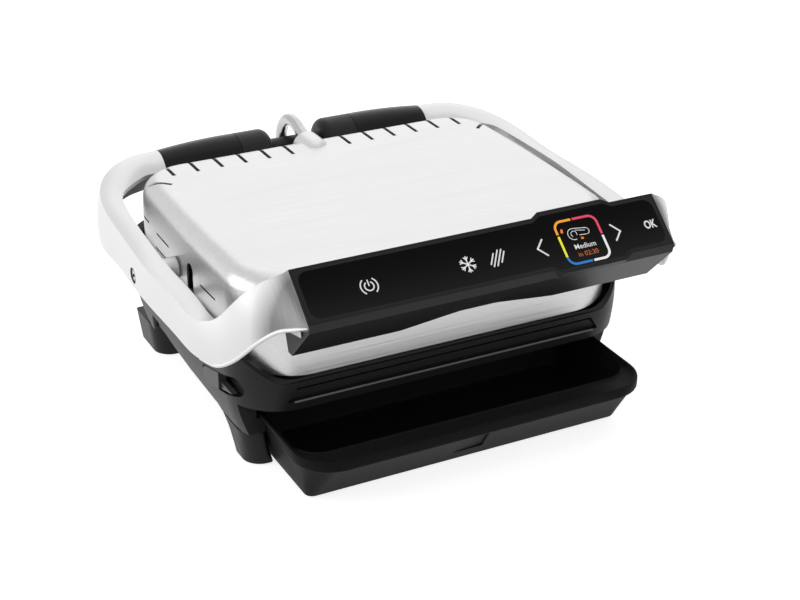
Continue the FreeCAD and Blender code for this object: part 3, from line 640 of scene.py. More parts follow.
@dataclass
class Finishes:
    """Every finish of the grill, and which parts wear it."""

    black: MouldedPlastic = MouldedPlastic("black_moulding", (0.011, 0.011, 0.0115), 0.42)
    drawer_black: MouldedPlastic = MouldedPlastic(
        "drawer_moulding", (0.008, 0.008, 0.0084), 0.55, gloss=0.06)
    barrel: MouldedPlastic = MouldedPlastic(
        "barrel_moulding", (0.0025, 0.0025, 0.0027), 0.3, grain=0.00002, gloss=0.16)
    grey: MouldedPlastic = MouldedPlastic("lever_grey", (0.08, 0.08, 0.085), 0.4)
    ivory: MouldedPlastic = MouldedPlastic("insulator_ivory", (0.62, 0.6, 0.52), 0.5)
    rubber: MouldedPlastic = MouldedPlastic(
        "pad_rubber", (0.015, 0.015, 0.015), 0.7, grain=0.0001)
    board: MouldedPlastic = MouldedPlastic("board_green", (0.015, 0.13, 0.05), 0.35)
    enamel: MouldedPlastic = MouldedPlastic(
        "plate_coating", (0.02, 0.02, 0.021), 0.38, grain=0.00008, grain_scale=800.0, gloss=0.5)
    border: MouldedPlastic = MouldedPlastic(
        "panel_border", (0.008, 0.008, 0.0085), 0.36, grain=0.00002)
    seal: MouldedPlastic = MouldedPlastic("seal_black", (0.008, 0.008, 0.008), 0.6)
    # Painted highlight: mid grey for the bright line of light along the gutter's black lip.
    lip: MouldedPlastic = MouldedPlastic("lip_painted_highlight", (0.2, 0.2, 0.204), 0.3)
    paint: SatinPaint = SatinPaint("arm_silver")
    trim: SatinPaint = SatinPaint("trim_silver", ribbon_shade_start=0.9)
    sheet: BrushedSteel = BrushedSteel("lid_brushed")
    tray: BrushedSteel = BrushedSteel(
        "tray_plain", (0.55, 0.55, 0.56), 0.4, along=30.0, across=300.0)
    tube: TurnedMetal = TurnedMetal("tube_bright", (0.5, 0.5, 0.51), 0.2)
    pin: TurnedMetal = TurnedMetal("pin_turned", (0.5, 0.5, 0.51), 0.3)
    element: TurnedMetal = TurnedMetal("element_dull", (0.16, 0.15, 0.145), 0.5)

    def wear(self) -> dict[Finish, tuple[str, ...]]:
        """Say which nodes wear which finish.

        Returns:
            Each finish, with the names of the nodes that wear it.
        """
        return {
            self.black: ("lower_housing", "plate_bed", "feet", "bottom_cover", "hinge_towers",
                         "conduit_hub", "panel_housing", "lid_lining", "board_posts",
                         "power_board_posts", "power_relays", "display_module", "panel_bezel"),
            self.drawer_black: ("drip_drawer",),
            self.barrel: ("hinge_barrels",),
            self.grey: ("lower_release_lever", "upper_release_lever"),
            self.ivory: ("terminal_block", "pivot_bushes"),
            self.rubber: ("foot_pads", "cable_gland"),
            self.board: ("power_board", "control_board"),
            self.enamel: ("lower_plate", "upper_plate"),
            self.paint: ("arm_left", "arm_right", "pivot_caps"),
            self.sheet: ("lid_shell",),
            self.tray: ("lower_heat_tray", "upper_heat_tray"),
            self.tube: ("wire_tube",),
            self.pin: ("hinge_shaft", "pivot_pins", "float_stop_pins", "lower_sensor",
                       "upper_sensor"),
            self.element: ("lower_heater", "upper_heater"),
            self.border: ("panel_glass",),
        }

    def dress(self, nodes: dict[str, bpy.types.Object]) -> None:
        """Put each finish on the nodes that wear it.

        Args:
            nodes: node name to its object.
        """
        for finish, names in self.wear().items():
            material = finish.material()
            for name in names:
                coat(nodes[name], material)
                LOG.info("dressed %s in %s", name, finish.name)


@dataclass(frozen=True)
class Ring:
    """One level of the drawer: a rectangle with rounded corners at a height."""

    height: float
    half: float
    front: float
    rear: float
    front_corner: float
    rear_corner: float
    steps: int = 8
    bay_front: float = -118.0
    bay_blend: float = 14.0
    past_corner: float = 1.0

    def _side(self, side: int) -> list[Vector]:
        """Points on one straight side, where its lip starts and ends growing thinner.

        Args:
            side: 1 for the right side and -1 for the left one.

        Returns:
            The two points, from front to rear.
        """
        corner_end = self.front + self.front_corner + self.past_corner
        start = max(self.bay_front - self.bay_blend, corner_end)
        return [Vector((side * self.half, y, self.height)) for y in (start, self.bay_front)]

    def points(self) -> list[Vector]:
        """Lay out the whole ring.

        Returns:
            Its points, counter-clockwise from the right rear corner.
        """
        corners = ((self.half, self.rear, self.rear_corner, 0),
                   (-self.half, self.rear, self.rear_corner, 90),
                   (-self.half, self.front, self.front_corner, 180),
                   (self.half, self.front, self.front_corner, 270))
        found = []
        for x, y, radius, start in corners:
            centre = Vector((x - math.copysign(radius, x),
                             y - radius if y == self.rear else y + radius))
            for i in range(self.steps + 1):
                angle = math.radians(start + 90 * i / self.steps)
                found.append(Vector((centre.x + radius * math.cos(angle),
                                     centre.y + radius * math.sin(angle), self.height)))
            if start == 90:
                found.extend(reversed(self._side(-1)))
        return [*found, *self._side(1)]


@dataclass
class DripDrawer:
    """Open drip drawer: leaning walls, an overhanging rim, and a ledge inside its front."""

    rim: float = 42.0
    floor: float = 1.6
    skin: float = 1.8
    half: float = 134.5
    front: float = -170.5
    rear: float = -44.0
    ledge: float = 17.0
    ledge_round: float = 3.5
    lip: float = 8.0
    lip_band: float = 2.0
    lip_top: float = 1.3
    rail_lip: float = 3.0
    pull_left: float = -16.0
    pull_right: float = 7.0
    pull_low: float = 12.0
    pull_high: float = 28.0
    pull_edge: float = 0.8
    pull_depth: float = 1.6
    pull_least: float = 0.25
    smooth_degrees: float = 38.0
    front_facing: float = -0.5
    hair: float = 0.01

    def rings(self) -> list[Ring]:
        """Levels of the tub, each with its height, its reach to the side, the front and the
        rear, and the radii of its front and rear corners.

        Returns:
            Levels from the outer bottom, over the rim, to the inner floor.
        """
        top, half, front, rear = self.rim, self.half, self.front, self.rear
        under = top - self.lip
        inner = front + self.ledge + self.ledge_round
        base = self.floor + self.skin
        return [
            # Outer bottom and its rounded edge.
            Ring(self.floor, half - 11.8, front + 29.3, rear - 10.8, 5.2, 9.2),
            Ring(self.floor + 0.4, half - 10.9, front + 28.3, rear - 9.9, 6.0, 10.0),
            Ring(self.floor + 1.4, half - 10.5, front + 27.6, rear - 9.4, 6.4, 10.4),
            # Leaning outer wall, with the finger pull between its two middle levels.
            Ring(self.pull_low, half - 8.5, front + 20.8, rear - 7.4, 11.0, 12.0),
            Ring(self.pull_high, half - 5.4, front + 8.6, rear - 5.0, 18.0, 14.0),
            Ring(under, half - 3.4, front + 2.6, rear - 3.0, 24.0, 16.0),
            # Underside of the rim and its rounded lower edge.
            Ring(under, half - 0.9, front + 0.9, rear - 0.9, 27.0, 19.0),
            Ring(under + 0.6, half - 0.2, front + 0.2, rear - 0.2, 27.8, 19.8),
            Ring(under + 1.4, half, front, rear, 28.0, 20.0),
            # Rounded upper edge of the rim.
            Ring(top - 1.2, half, front, rear, 28.0, 20.0),
            Ring(top - 0.3, half - 0.4, front + 0.4, rear - 0.4, 27.6, 19.6),
            Ring(top, half - 1.2, front + 1.2, rear - 1.2, 26.8, 18.8),
            Ring(top - 0.2, half - 2.0, front + 2.2, rear - 2.0, 26.0, 18.0),
            Ring(top - 0.9, half - 2.6, front + 3.4, rear - 2.6, 25.4, 17.4),
            # Ledge inside the front, and its raised inner edge.
            Ring(top - 2.6, half - 3.6, inner - 2.4, rear - 3.6, 21.0, 16.4),
            Ring(top - 1.7, half - 4.0, inner - 1.2, rear - 4.0, 20.4, 16.0),
            Ring(top - 2.0, half - 4.6, inner - 0.2, rear - 4.6, 19.8, 15.4),
            # Inner wall, down to the floor.
            Ring(top - 4.0, half - 5.2, inner + 0.6, rear - 5.2, 19.2, 14.8),
            Ring(base + 5.0, half - 11.2, inner + 8.2, rear - 11.2, 14.0, 12.0),
            Ring(base + 1.4, half - 13.2, inner + 10.4, rear - 13.2, 12.6, 10.4),
            Ring(base, half - 17.0, inner + 14.2, rear - 17.0, 9.0, 7.0)]

    def _shape(self, made: bpy.types.Object, ring: Ring, first: int) -> None:
        """Move the newest loop of points to its ring, with a thinner lip over the rails.

        Args:
            made: the tub, in edit mode.
            ring: the level that the loop takes.
            first: index of the loop's first point.
        """
        mesh = bmesh.from_edit_mesh(made.data)
        mesh.verts.ensure_lookup_table()
        points = ring.points()
        under = self.rim - self.lip
        in_lip = under - self.hair <= ring.height < under + self.lip_band
        for i, point in enumerate(points):
            inside = min(1.0, max(0.0, (point.y - ring.bay_front) / ring.bay_blend + 1.0))
            if in_lip and inside:
                rise = (self.lip - self.rail_lip) * inside
                point.z = min(point.z + rise, self.rim - self.lip_top)
            mesh.verts[first + i].co = point
        for vertex in mesh.verts:
            vertex.select = False
        for edge in mesh.edges:
            edge.select = all(v.index >= len(mesh.verts) - len(points) for v in edge.verts)
        bmesh.update_edit_mesh(made.data)

    def build_tub(self) -> bpy.types.Object:
        """Extrude the tub ring by ring and close its bottom and its floor.

        Returns:
            The tub, in millimetres.
        """
        rings = self.rings()
        count = len(rings[0].points())
        made = begin("drawer_tub", bpy.ops.mesh.primitive_circle_add, vertices=count, radius=1.0,
                     fill_type="NGON")
        bpy.ops.object.mode_set(mode="EDIT")
        bpy.ops.mesh.select_mode(type="EDGE")
        self._shape(made, rings[0], 0)
        for i, ring in enumerate(rings[1:], 1):
            bpy.ops.mesh.extrude_edges_move()
            self._shape(made, ring, i * count)
        bpy.ops.mesh.edge_face_add()
        bpy.ops.mesh.select_all(action="SELECT")
        bpy.ops.mesh.normals_make_consistent(inside=False)
        self._press_pull(made)
        bpy.ops.object.mode_set(mode="OBJECT")
        return made

    def _select_front(self, made: bpy.types.Object, left: float,
                      right: float) -> bmesh.types.BMesh:
        """Select the faces of the front wall's middle level between two places across.

        Args:
            made: the tub, in edit mode.
            left: where the choice begins.
            right: where it ends.

        Returns:
            The mesh that is being edited.
        """
        bpy.ops.mesh.select_all(action="DESELECT")
        mesh = bmesh.from_edit_mesh(made.data)
        for face in mesh.faces:
            centre = face.calc_center_median()
            face.select = (face.normal.y < self.front_facing and left < centre.x < right
                           and centre.y < self.front + self.ledge
                           and self.pull_low < centre.z < self.pull_high)
        bmesh.update_edit_mesh(made.data)
        return mesh

    def _press_pull(self, made: bpy.types.Object) -> None:
        """Press the small finger pull into the front wall, deeper at its right end.

        Args:
            made: the tub, in edit mode.
        """
        bpy.ops.mesh.select_mode(type="FACE")
        for x in (self.pull_left, self.pull_right):
            self._select_front(made, -self.half, self.half)
            bpy.ops.mesh.bisect(plane_co=(x, 0.0, 0.0), plane_no=(1.0, 0.0, 0.0))
        self._select_front(made, self.pull_left, self.pull_right)
        bpy.ops.mesh.inset(thickness=self.pull_edge)
        mesh = self._select_front(made, self.pull_left + self.pull_edge,
                                  self.pull_right - self.pull_edge)
        run = self.pull_right - self.pull_left
        for face in mesh.faces:
            if face.select:
                for vertex in face.verts:
                    share = (vertex.co.x - self.pull_left) / run
                    depth = self.pull_least + (1.0 - self.pull_least) * share
                    vertex.co.y += self.pull_depth * depth
        bmesh.update_edit_mesh(made.data)

    def build(self, finish: bpy.types.Material) -> None:
        """Build the drawer in place of the plainer solid of the frame.

        Args:
            finish: the drawer's moulded plastic.
        """
        made = self.build_tub()
        made.data.transform(Matrix.Scale(MM, 4))
        ready(made)
        smooth(self.smooth_degrees)
        coat(made, finish)
        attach(made, Rides.DRAWER.value)
        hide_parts("drip_drawer")
        LOG.info("built %s", made.name)


@dataclass
class ArmTrim:
    """Rolled lower edge of each arm's ribbon, its tongue on the housing, and the pivot seals."""

    ribbon_edge: tuple[tuple[float, float, float], ...] = (
        (179.0, -98.0, 101.0), (174.0, -115.2, 103.1), (167.0, -129.5, 112.0),
        (157.5, -146.5, 130.0), (149.0, -159.7, 142.1), (142.5, -172.2, 148.1),
        (137.4, -180.6, 151.3))
    edge_steps: int = 5
    bead_radius: float = 1.5
    bead_tip: float = 0.35
    bead_growth: float = 0.13
    smooth_degrees: float = 40.0
    tongue_size: tuple[float, float, float] = (1.3, 17.0, 6.5)
    tongue_tilt: float = -13.0
    tongue_x: float = 136.85
    tongue_y: float = -160.5
    tongue_z: float = 141.0
    tongue_bevel: float = 0.5
    pivot_y: float = 19.5
    pivot_z: float = 113.0
    cap_x: float = 183.25
    seal_thickness: float = 0.7
    seal_radius: float = 5.9
    seal_width: float = 1.5
    dot_radius: float = 1.1
    dot_width: float = 1.0

    def smooth_path(self, side: int) -> list[Vector]:
        """Points along one ribbon's lower edge, rounded between the given ones.

        Args:
            side: 1 for the right arm and -1 for the left one.

        Returns:
            Points in metres.
        """
        given = [Vector((side * x, y, z)) * MM for x, y, z in self.ribbon_edge]
        given = [given[0] * 2 - given[1], *given, given[-1] * 2 - given[-2]]
        found = []
        for a, b, c, d in zip(given, given[1:], given[2:], given[3:]):
            for i in range(self.edge_steps):
                t = i / self.edge_steps
                found.append(0.5 * ((2 * b) + (c - a) * t + (2 * a - 5 * b + 4 * c - d) * t ** 2
                                    + (3 * b - a - 3 * c + d) * t ** 3))
        return [*found, given[-2]]

    def bead(self, name: str, points: Sequence[Vector]) -> bpy.types.Object:
        """Draw a round bead along a path, thinner at both ends, and make it a mesh.

        Args:
            name: the piece's name.
            points: the path, in metres.

        Returns:
            The bead's mesh.
        """
        made = begin(name, bpy.ops.curve.primitive_bezier_curve_add, location=(0, 0, 0))
        curve = made.data
        curve.splines.clear()
        spline = curve.splines.new("POLY")
        last = len(points) - 1
        spline.points.add(last)
        for index, (point, place) in enumerate(zip(spline.points, points)):
            point.co = (*place, 1.0)
            from_end = min(index, last - index)
            point.radius = min(1.0, self.bead_tip + self.bead_growth * from_end)
        curve.bevel_depth = self.bead_radius * MM
        curve.bevel_resolution = 3
        curve.use_fill_caps = True
        ready(made)
        bpy.ops.object.convert(target="MESH")
        made = bpy.context.object
        smooth(self.smooth_degrees)
        return made

    def tongue(self, side: int) -> bpy.types.Object:
        """Small plate at the ribbon's end that lies on the housing's end face.

        Args:
            side: 1 for the right arm and -1 for the left one.

        Returns:
            The plate's mesh.
        """
        made = begin("ribbon_tongue_" + ("right" if side > 0 else "left"),
                     bpy.ops.mesh.primitive_cube_add, size=1.0)
        made.scale = [size * MM for size in self.tongue_size]
        made.rotation_euler = (math.radians(self.tongue_tilt), 0.0, 0.0)
        made.location = Vector((side * self.tongue_x, self.tongue_y, self.tongue_z)) * MM
        settle(made)
        bevel = made.modifiers.new("edge", "BEVEL")
        bevel.width = self.tongue_bevel * MM
        bevel.segments = 2
        apply_modifiers(made)
        return made

    def seal(self, side: int) -> bpy.types.Object:
        """Dark ring and centre dot on one pivot cap.

        Args:
            side: 1 for the right arm and -1 for the left one.

        Returns:
            The ring and the dot as one mesh.
        """
        panel = ControlPanel(thickness=self.seal_thickness)
        ring = panel.ring("seal_ring", 0.0, 0.0, self.seal_radius, 0, FULL_SWEEP,
                          self.seal_width)
        dot = panel.ring("seal_dot", 0.0, 0.0, self.dot_radius, 0, FULL_SWEEP, self.dot_width)
        made = panel.join("pivot_seal_" + ("right" if side > 0 else "left"), [ring, dot])
        turn = Matrix(((0, 0, side, side * self.cap_x), (side, 0, 0, self.pivot_y),
                       (0, 1, 0, self.pivot_z), (0, 0, 0, 1)))
        made.data.transform(Matrix.Translation((0, 0, -panel.lift)))
        made.data.transform(turn)
        made.data.transform(Matrix.Scale(MM, 4))
        made.data.update()
        return made

    def build(self, paint: bpy.types.Material, rubber: bpy.types.Material) -> None:
        """Build the trim of both arms.

        Args:
            paint: the arms' silver paint.
            rubber: the seals' black rubber.
        """
        for side, hand in ((-1, "left"), (1, "right")):
            pieces = ((self.bead("ribbon_bead_" + hand, self.smooth_path(side)), paint,
                       "silver_paint"),
                      (self.tongue(side), paint, "silver_paint"),
                      (self.seal(side), rubber, "rubber"))
            for made, finish, slot in pieces:
                coat(made, finish)
                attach(made, Rides.FRAME.value)
                LOG.info("built %s", made.name)


@dataclass
class GutterLip:
    """Thin grey rod under the gutter in the base's front, a painted highlight along the edge of
    the black lip.
    """

    half: float = 119.0
    y: float = -113.6
    z: float = 60.6
    radius: float = 0.7
    sides: int = 16
    bevel: float = 0.4
    bevel_degrees: float = 60.0
    smooth_degrees: float = 40.0

    def build(self, finish: bpy.types.Material) -> None:
        """Lay the edge along the front.

        Args:
            finish: satin grey of the edge, a painted highlight.
        """
        made = begin("gutter_lip", bpy.ops.mesh.primitive_cylinder_add, vertices=self.sides,
                     radius=self.radius * MM, depth=2 * self.half * MM,
                     location=(0.0, self.y * MM, self.z * MM),
                     rotation=(0.0, math.radians(90.0), 0.0))
        settle(made)
        bevel = made.modifiers.new("ends", "BEVEL")
        bevel.width = self.bevel * MM
        bevel.segments = 3
        bevel.limit_method = "ANGLE"
        bevel.angle_limit = math.radians(self.bevel_degrees)
        apply_modifiers(made)
        smooth(self.smooth_degrees)
        coat(made, finish)
        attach(made, Rides.BASE.value)
        LOG.info("built %s", made.name)


@dataclass
class ControlPanel:
    """Symbols and display on the sloping glass, drawn flat and laid on it."""

    lift: float = 0.3
    thickness: float = 0.1
    middle: float = 17.6
    border: float = 3.4
    glass_half: float = 132.6
    glass_corner: float = 7.0
    glass_lift: float = 0.4
    line: float = 0.9
    twig_line: float = 0.8
    sear_line: float = 1.0
    arrow_line: float = 1.2
    merge: float = 0.001
    ring_least: int = 6
    ring_degrees: float = 9.0
    end_points: int = 16

    def lay(self, obj: bpy.types.Object) -> bpy.types.Object:
        """Scale a flat drawing in millimetres and lay it on the glass.

        Args:
            obj: a mesh drawn with X across and Y up the slope, in millimetres.

        Returns:
            The same object, in place and riding on the frame.
        """
        turn = Matrix.Rotation(PANEL.slope, 4, "X")
        shift = Matrix.Translation(Vector((0, PANEL.low_y, PANEL.low_z)) * MM)
        obj.data.transform(shift @ turn @ Matrix.Scale(MM, 4))
        obj.data.update()
        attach(obj, Rides.FRAME.value)
        LOG.info("laid %s on the panel", obj.name)
        return obj

    def ring(self, name: str, x: float, y: float, radius: float, start: float, sweep: float,
             stroke: float) -> bpy.types.Object:
        """Draw part of a ring with a spun edge.

        Args:
            name: the piece's name.
            x: centre across the panel.
            y: centre up the slope.
            radius: outer radius.
            start: angle where it begins, in degrees.
            sweep: how far it goes round, in degrees.
            stroke: width of the line.

        Returns:
            The flat mesh, with its thickness.
        """
        made = begin(name, bpy.ops.mesh.primitive_plane_add, size=1.0, location=(0, 0, 0))
        steps = max(self.ring_least, int(sweep / self.ring_degrees))
        bpy.ops.object.mode_set(mode="EDIT")
        mesh = bmesh.from_edit_mesh(made.data)
        bmesh.ops.delete(mesh, geom=list(mesh.verts), context="VERTS")
        angle = math.radians(start)
        direction = Vector((math.cos(angle), math.sin(angle), 0))
        centre = Vector((x, y, self.lift))
        near = mesh.verts.new(centre + direction * (radius - stroke))
        far = mesh.verts.new(centre + direction * radius)
        edge = mesh.edges.new((near, far))
        edge.select = True
        bmesh.update_edit_mesh(made.data)
        bpy.ops.mesh.spin(steps=steps, angle=-math.radians(sweep), center=centre, axis=(0, 0, 1))
        bpy.ops.mesh.select_all(action="SELECT")
        bpy.ops.mesh.remove_doubles(threshold=self.merge)
        bpy.ops.mesh.normals_make_consistent(inside=False)
        bpy.ops.object.mode_set(mode="OBJECT")
        return self.thicken(made)

    def thicken(self, made: bpy.types.Object) -> bpy.types.Object:
        """Give a flat drawing a thin body.

        Args:
            made: the flat drawing.

        Returns:
            The same object, with its thickness.
        """
        solidify = made.modifiers.new("body", "SOLIDIFY")
        solidify.thickness = self.thickness
        solidify.offset = 0.0
        apply_modifiers(made)
        return made

    def _reach(self, start: Sequence[float], end: Sequence[float]) -> tuple[Vector, Vector]:
        """The two ends of a line on the slope, lifted off it."""
        return Vector((*start, self.lift)), Vector((*end, self.lift))

    def bar(self, name: str, start: Sequence[float], end: Sequence[float],
            stroke: float) -> bpy.types.Object:
        """Draw a straight line with rounded ends.

        Args:
            name: the piece's name.
            start: first point on the slope.
            end: last point on the slope.
            stroke: width of the line.

        Returns:
            The flat mesh, with its thickness.
        """
        first, last = self._reach(start, end)
        run = last - first
        made = begin(name, bpy.ops.mesh.primitive_circle_add, vertices=self.end_points,
                     radius=stroke / 2, fill_type="NGON", location=first)
        settle(made)
        for vertex in made.data.vertices:
            if (vertex.co - first).dot(run) > 0:
                vertex.co += run
        made.data.update()
        return self.thicken(made)

    def strip(self, name: str, start: Sequence[float], end: Sequence[float],
              stroke: float) -> bpy.types.Object:
        """Draw a straight line with square ends.

        Args:
            name: the piece's name.
            start: first point on the slope.
            end: last point on the slope.
            stroke: width of the line.

        Returns:
            The flat mesh, with its thickness.
        """
        first, last = self._reach(start, end)
        run = last - first
        made = begin(name, bpy.ops.mesh.primitive_plane_add, size=1.0,
                     location=(first + last) / 2, rotation=(0, 0, math.atan2(run.y, run.x)))
        made.scale = (run.length, stroke, 1.0)
        settle(made)
        return self.thicken(made)

    def letters(self, name: str, text: str, x: float, y: float, size: float, weight: float,
                squeeze: float = 1.0) -> bpy.types.Object:
        """Set a word in plain letters, centred on a point of the slope.

        Args:
            name: the piece's name.
            text: what it says.
            x: centre across the panel.
            y: centre up the slope.
            size: height of the letters' line.
            weight: how much bolder than the font they are.
            squeeze: share of their width that is kept.

        Returns:
            The letters as a mesh.
        """
        made = begin(name, bpy.ops.object.text_add, location=(0, 0, 0))
        made.data.body = text
        made.data.size = size
        made.data.align_x = "CENTER"
        made.data.align_y = "CENTER"
        made.data.offset = weight
        made.data.resolution_u = 4
        made.data.extrude = self.thickness / 2
        ready(made)
        bpy.ops.object.convert(target="MESH")
        made = bpy.context.object
        made.location = (x, y, self.lift)
        made.scale = (squeeze, 1.0, 1.0)
        settle(made)
        return made

    def join(self, name: str, parts: Iterable[bpy.types.Object]) -> bpy.types.Object:
        """Join several drawings into one piece.

        Args:
            name: the piece's name.
            parts: the drawings.

        Returns:
            The one object that they become.
        """
        parts = list(parts)
        bpy.ops.object.select_all(action="DESELECT")
        for part in parts:
            part.select_set(True)
        bpy.context.view_layer.objects.active = parts[0]
        if len(parts) > 1:
            bpy.ops.object.join()
        made = bpy.context.object
        made.name = name
        return made

    def power(self, x: float) -> bpy.types.Object:
        """Ring with a bar, between two wide arcs.

        Args:
            x: centre across the panel.

        Returns:
            The sign as one mesh.
        """
        y, line = self.middle, self.line
        inner, outer = 3.6, 6.4
        return self.join("symbol_power", [
            self.ring("power_ring", x, y, inner, 120, 300, line),
            self.bar("power_bar", (x, y + 0.4), (x, y + 4.2), line),
            self.ring("power_left", x, y, outer, 125, 110, line),
            self.ring("power_right", x, y, outer, -55, 110, line)])

    def frost(self, x: float, arm: float = 5.6, root: float = 3.4,
              twig: float = 2.2) -> bpy.types.Object:
        """Six-armed frost crystal.

        Args:
            x: centre across the panel.
            arm: length of an arm.
            root: how far out along the arm its twigs begin.
            twig: length of a twig.

        Returns:
            The sign as one mesh.
        """
        y = self.middle
        parts = []
        for i in range(3):
            angle = math.radians(30 + 60 * i)
            way = Vector((math.cos(angle), math.sin(angle)))
            parts.append(self.bar("frost_arm", (x - way.x * arm, y - way.y * arm),
                                  (x + way.x * arm, y + way.y * arm), self.line))
        for i in range(6):
            angle = math.radians(30 + 60 * i)
            fork = Vector((x + root * math.cos(angle), y + root * math.sin(angle)))
            for turn in (-40, 40):
                out = angle + math.radians(turn)
                tip = fork + Vector((math.cos(out), math.sin(out))) * twig
                parts.append(self.bar("frost_twig", fork, tip, self.twig_line))
        return self.join("symbol_frost", parts)

    def sear(self, x: float, pitch: float = 2.7, slant: float = 0.6) -> bpy.types.Object:
        """Four slanting strokes, clipped to a round field.

        Args:
            x: centre across the panel.
            pitch: distance between two strokes.
            slant: how far a stroke leans for its height.

        Returns:
            The sign as one mesh.
        """
        y = self.middle
        parts = []
        for i, reach in enumerate((3.6, 5.4, 5.4, 3.6)):
            across = (i - 1.5) * pitch
            parts.append(self.bar("sear_line", (x + across - reach * slant, y - reach),
                                  (x + across + reach * slant, y + reach), self.sear_line))
        return self.join("symbol_sear", parts)

    def chevron(self, name: str, x: float, towards: float, reach: float = 2.8,
                rise: float = 6.0) -> bpy.types.Object:
        """Arrow head that points left or right.

        Args:
            name: the piece's name.
            x: centre across the panel.
            towards: 1 to point right and -1 to point left.
            reach: half of its width.
            rise: half of its height.

        Returns:
            The sign as one mesh.
        """
        y = self.middle
        tip = (x + towards * reach, y)
        back = x - towards * reach
        return self.join(name, [
            self.bar("stroke_up", (back, y + rise), tip, self.arrow_line),
            self.bar("stroke_down", (back, y - rise), tip, self.arrow_line)])

    def confirm(self, x: float) -> bpy.types.Object:
        """The letters OK."""
        return self.letters("symbol_confirm", "OK", x, self.middle, size=8.4, weight=0.22,
                            squeeze=0.74)

    def _glass_outline(self) -> list[tuple[float, float]]:
        """Trace the clear glass on the slope.

        Returns:
            Its points, counter-clockwise from the top left corner.
        """
        low, high = self.border, PANEL.width - self.border
        rise, corner = PANEL.bump_rise, self.glass_corner
        inner = PANEL.bump_foot - PANEL.bump_ramp
        bump = [(-PANEL.bump_foot, 0.0), (-inner, rise), (inner, rise), (PANEL.bump_foot, 0.0)]
        ends = []
        for side, first in ((-1, 90), (-1, 180), (1, 270), (1, 0)):
            x = side * (self.glass_half - corner)
            y = high - corner if first in (90, 0) else low + corner
            ends.append([(x + corner * math.cos(math.radians(first + turn)),
                          y + corner * math.sin(math.radians(first + turn)))
                         for turn in range(0, 91, 15)])
        return [*ends[0], *ends[1],
                *((PANEL.display_x + u, low - v) for u, v in bump),
                *ends[2], *ends[3],
                *((PANEL.display_x + u, high + v) for u, v in reversed(bump))]

    def field(self) -> None:
        """Lay the clear glass, with round ends and its swelling at the display."""
        points = self._glass_outline()
        made = begin("glass_field", bpy.ops.mesh.primitive_circle_add, vertices=len(points),
                     radius=1.0, fill_type="NGON")
        for vertex, (x, y) in zip(made.data.vertices, points):
            vertex.co = (x, y, self.lift * self.glass_lift)
        made.data.update()
        self.thicken(made)
        coat(made, BlackGlass("field_glass").material())
        self.lay(made)

    def build(self) -> None:
        """Draw the glass, all symbols and the display."""
        self.field()
        white = Lit("symbol_white", Glow.WHITE.value).material()
        places = {Symbol.POWER: -88.5, Symbol.FROST: -17.4, Symbol.SEAR: 4.7,
                  Symbol.BACK: 38.0, Symbol.NEXT: 97.3, Symbol.CONFIRM: 124.3}
        makers = {Symbol.POWER: self.power, Symbol.FROST: self.frost, Symbol.SEAR: self.sear,
                  Symbol.CONFIRM: self.confirm,
                  Symbol.BACK: lambda x: self.chevron("symbol_back", x, -1.0),
                  Symbol.NEXT: lambda x: self.chevron("symbol_next", x, 1.0)}
        for symbol, x in places.items():
            made = makers[symbol](x)
            coat(made, white)
            self.lay(made)
        Display(self).build()


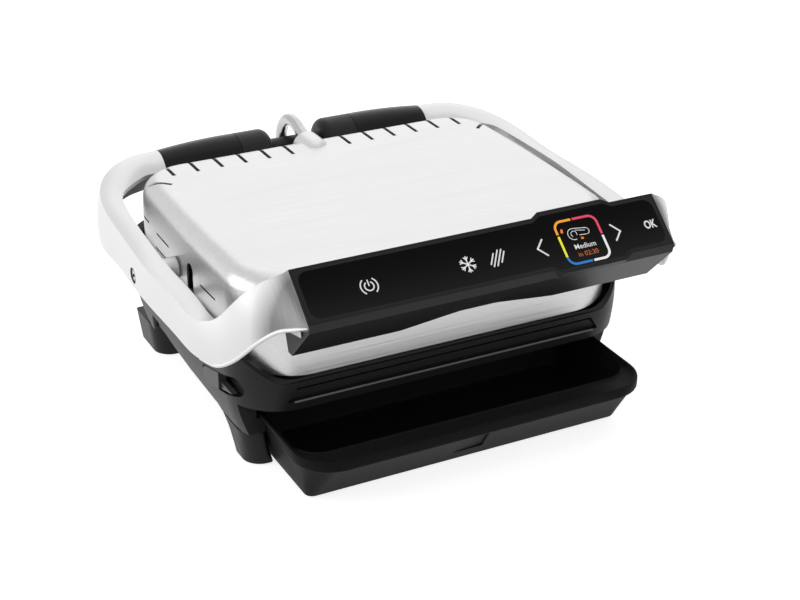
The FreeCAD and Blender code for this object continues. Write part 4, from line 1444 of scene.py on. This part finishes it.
@dataclass
class Display:
    """Square colour display: a ring of coloured stretches round a picture and two words."""

    panel: ControlPanel
    x: float = 69.8
    y: float = 17.4
    half: float = 17.0
    corner: float = 6.5
    stroke: float = 1.7
    gap: float = 0.6
    gap_shift: float = 0.1
    gap_drop: float = 0.05
    orange_end: float = 0.42
    yellow_top: float = 0.34
    yellow_trim: float = 0.02
    ring_glow: float = 0.5
    word_glow: float = 0.4
    line: float = 0.45
    fine_line: float = 0.4

    def corner_arc(self, side: int, rise: int) -> bpy.types.Object:
        """Draw a quarter of the ring at one corner.

        Args:
            side: 1 for the right corners and -1 for the left ones.
            rise: 1 for the upper corners and -1 for the lower ones.

        Returns:
            The flat mesh, with its thickness.
        """
        reach = self.half - self.corner
        start = {(1, 1): 0.0, (-1, 1): 90.0, (-1, -1): 180.0, (1, -1): 270.0}[side, rise]
        return self.panel.ring("arc", self.x + side * reach, self.y + rise * reach, self.corner,
                               start, 90.0, self.stroke)

    def run(self, start: tuple[float, float], end: tuple[float, float]) -> bpy.types.Object:
        """Draw a straight stretch of the ring.

        Args:
            start: where it begins, in shares of the ring's half width.
            end: where it ends, in the same shares.

        Returns:
            The flat mesh, with its thickness.
        """
        reach = self.half - self.stroke / 2
        points = [(self.x + u * reach, self.y + v * reach) for u, v in (start, end)]
        return self.panel.strip("run", *points, self.stroke)

    def finish(self, name: str, glow: Glow, parts: Iterable[bpy.types.Object],
               strength: float) -> None:
        """Join one mark, light it and lay it on the panel.

        Args:
            name: the piece's name.
            glow: its colour.
            parts: the drawings that it is made of.
            strength: how brightly it shines.
        """
        made = self.panel.join(name, parts)
        coat(made, Lit(name + "_light", glow.value, strength).material())
        self.panel.lay(made)

    def build_ring(self) -> None:
        """Five coloured stretches round the display."""
        c = (self.half - self.corner) / (self.half - self.stroke / 2)
        g, shift, drop = self.gap / self.half, self.gap_shift, self.gap_drop
        run, arc = self.run, self.corner_arc
        self.finish("ring_orange", Glow.ORANGE,
                    [arc(-1, 1), run((-c, 1), (-g - shift, 1)),
                     run((-1, c), (-1, self.orange_end))], self.ring_glow)
        self.finish("ring_pink", Glow.PINK,
                    [run((g - shift, 1), (c, 1)), arc(1, 1), run((1, c), (1, g + drop))],
                    self.ring_glow)
        self.finish("ring_white", Glow.WHITE,
                    [run((1, -g + drop), (1, -c)), arc(1, -1), run((c, -1), (g + shift, -1))],
                    self.ring_glow)
        self.finish("ring_blue", Glow.BLUE,
                    [run((-g + shift, -1), (-c, -1)), arc(-1, -1)], self.ring_glow)
        self.finish("ring_yellow", Glow.YELLOW,
                    [run((-1, -c + self.yellow_trim), (-1, self.yellow_top))], self.ring_glow)

    def build_picture(self) -> None:
        """Outline of a chop, with the words for its state and the time to go."""
        x, y = self.x - 1.0, self.y + 5.2
        ring, strip, bar = self.panel.ring, self.panel.strip, self.panel.bar
        self.finish("chop", Glow.PALE, [
            ring("eye", x - 3.6, y, 4.4, 75, 210, self.line),
            ring("tip", x + 6.4, y + 0.6, 2.6, 275, 190, self.line),
            ring("bone", x - 3.2, y, 2.4, 330, 260, self.fine_line),
            strip("back", (x - 2.6, y + 4.2), (x + 6.6, y + 3.0), self.line),
            strip("belly", (x + 6.0, y - 1.8), (x + 0.6, y - 1.4), self.line),
            strip("fat", (x - 1.4, y + 2.6), (x + 6.0, y + 1.2), self.fine_line)],
            self.ring_glow)
        self.finish("warm_mark", Glow.WARM, [
            bar("spark", (self.x - 12.4, self.y + 8.2), (self.x - 12.0, self.y + 9.6), 1.8),
            bar("ember", (x + 1.4, y - 4.0), (x + 2.0, y - 4.0), 1.6)], self.ring_glow)
        for name, text, glow, down, size, weight in (
                ("state_word", "Medium", Glow.PALE, 4.4, 5.2, 0.05),
                ("time_word", "in 02:30", Glow.DIM, 10.2, 4.9, 0.0)):
            word = self.panel.letters(name, text, self.x + 0.4, self.y - down, size, weight)
            self.finish(name, glow, [word], self.word_glow)

    def build(self) -> None:
        """Draw the whole display."""
        self.build_ring()
        self.build_picture()


def main() -> None:
    """Load the frame, dress it, add the panel's symbols and set up the studio."""
    logging.basicConfig(level=logging.INFO, format="%(name)s: %(message)s")
    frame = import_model()
    Studio().build()
    finishes = Finishes()
    finishes.dress(frame["nodes"])
    DripDrawer().build(finishes.drawer_black.material())
    ArmTrim().build(finishes.trim.material(), finishes.seal.material())
    GutterLip().build(finishes.lip.material())
    ControlPanel().build()


if __name__ == "__main__":
    main()
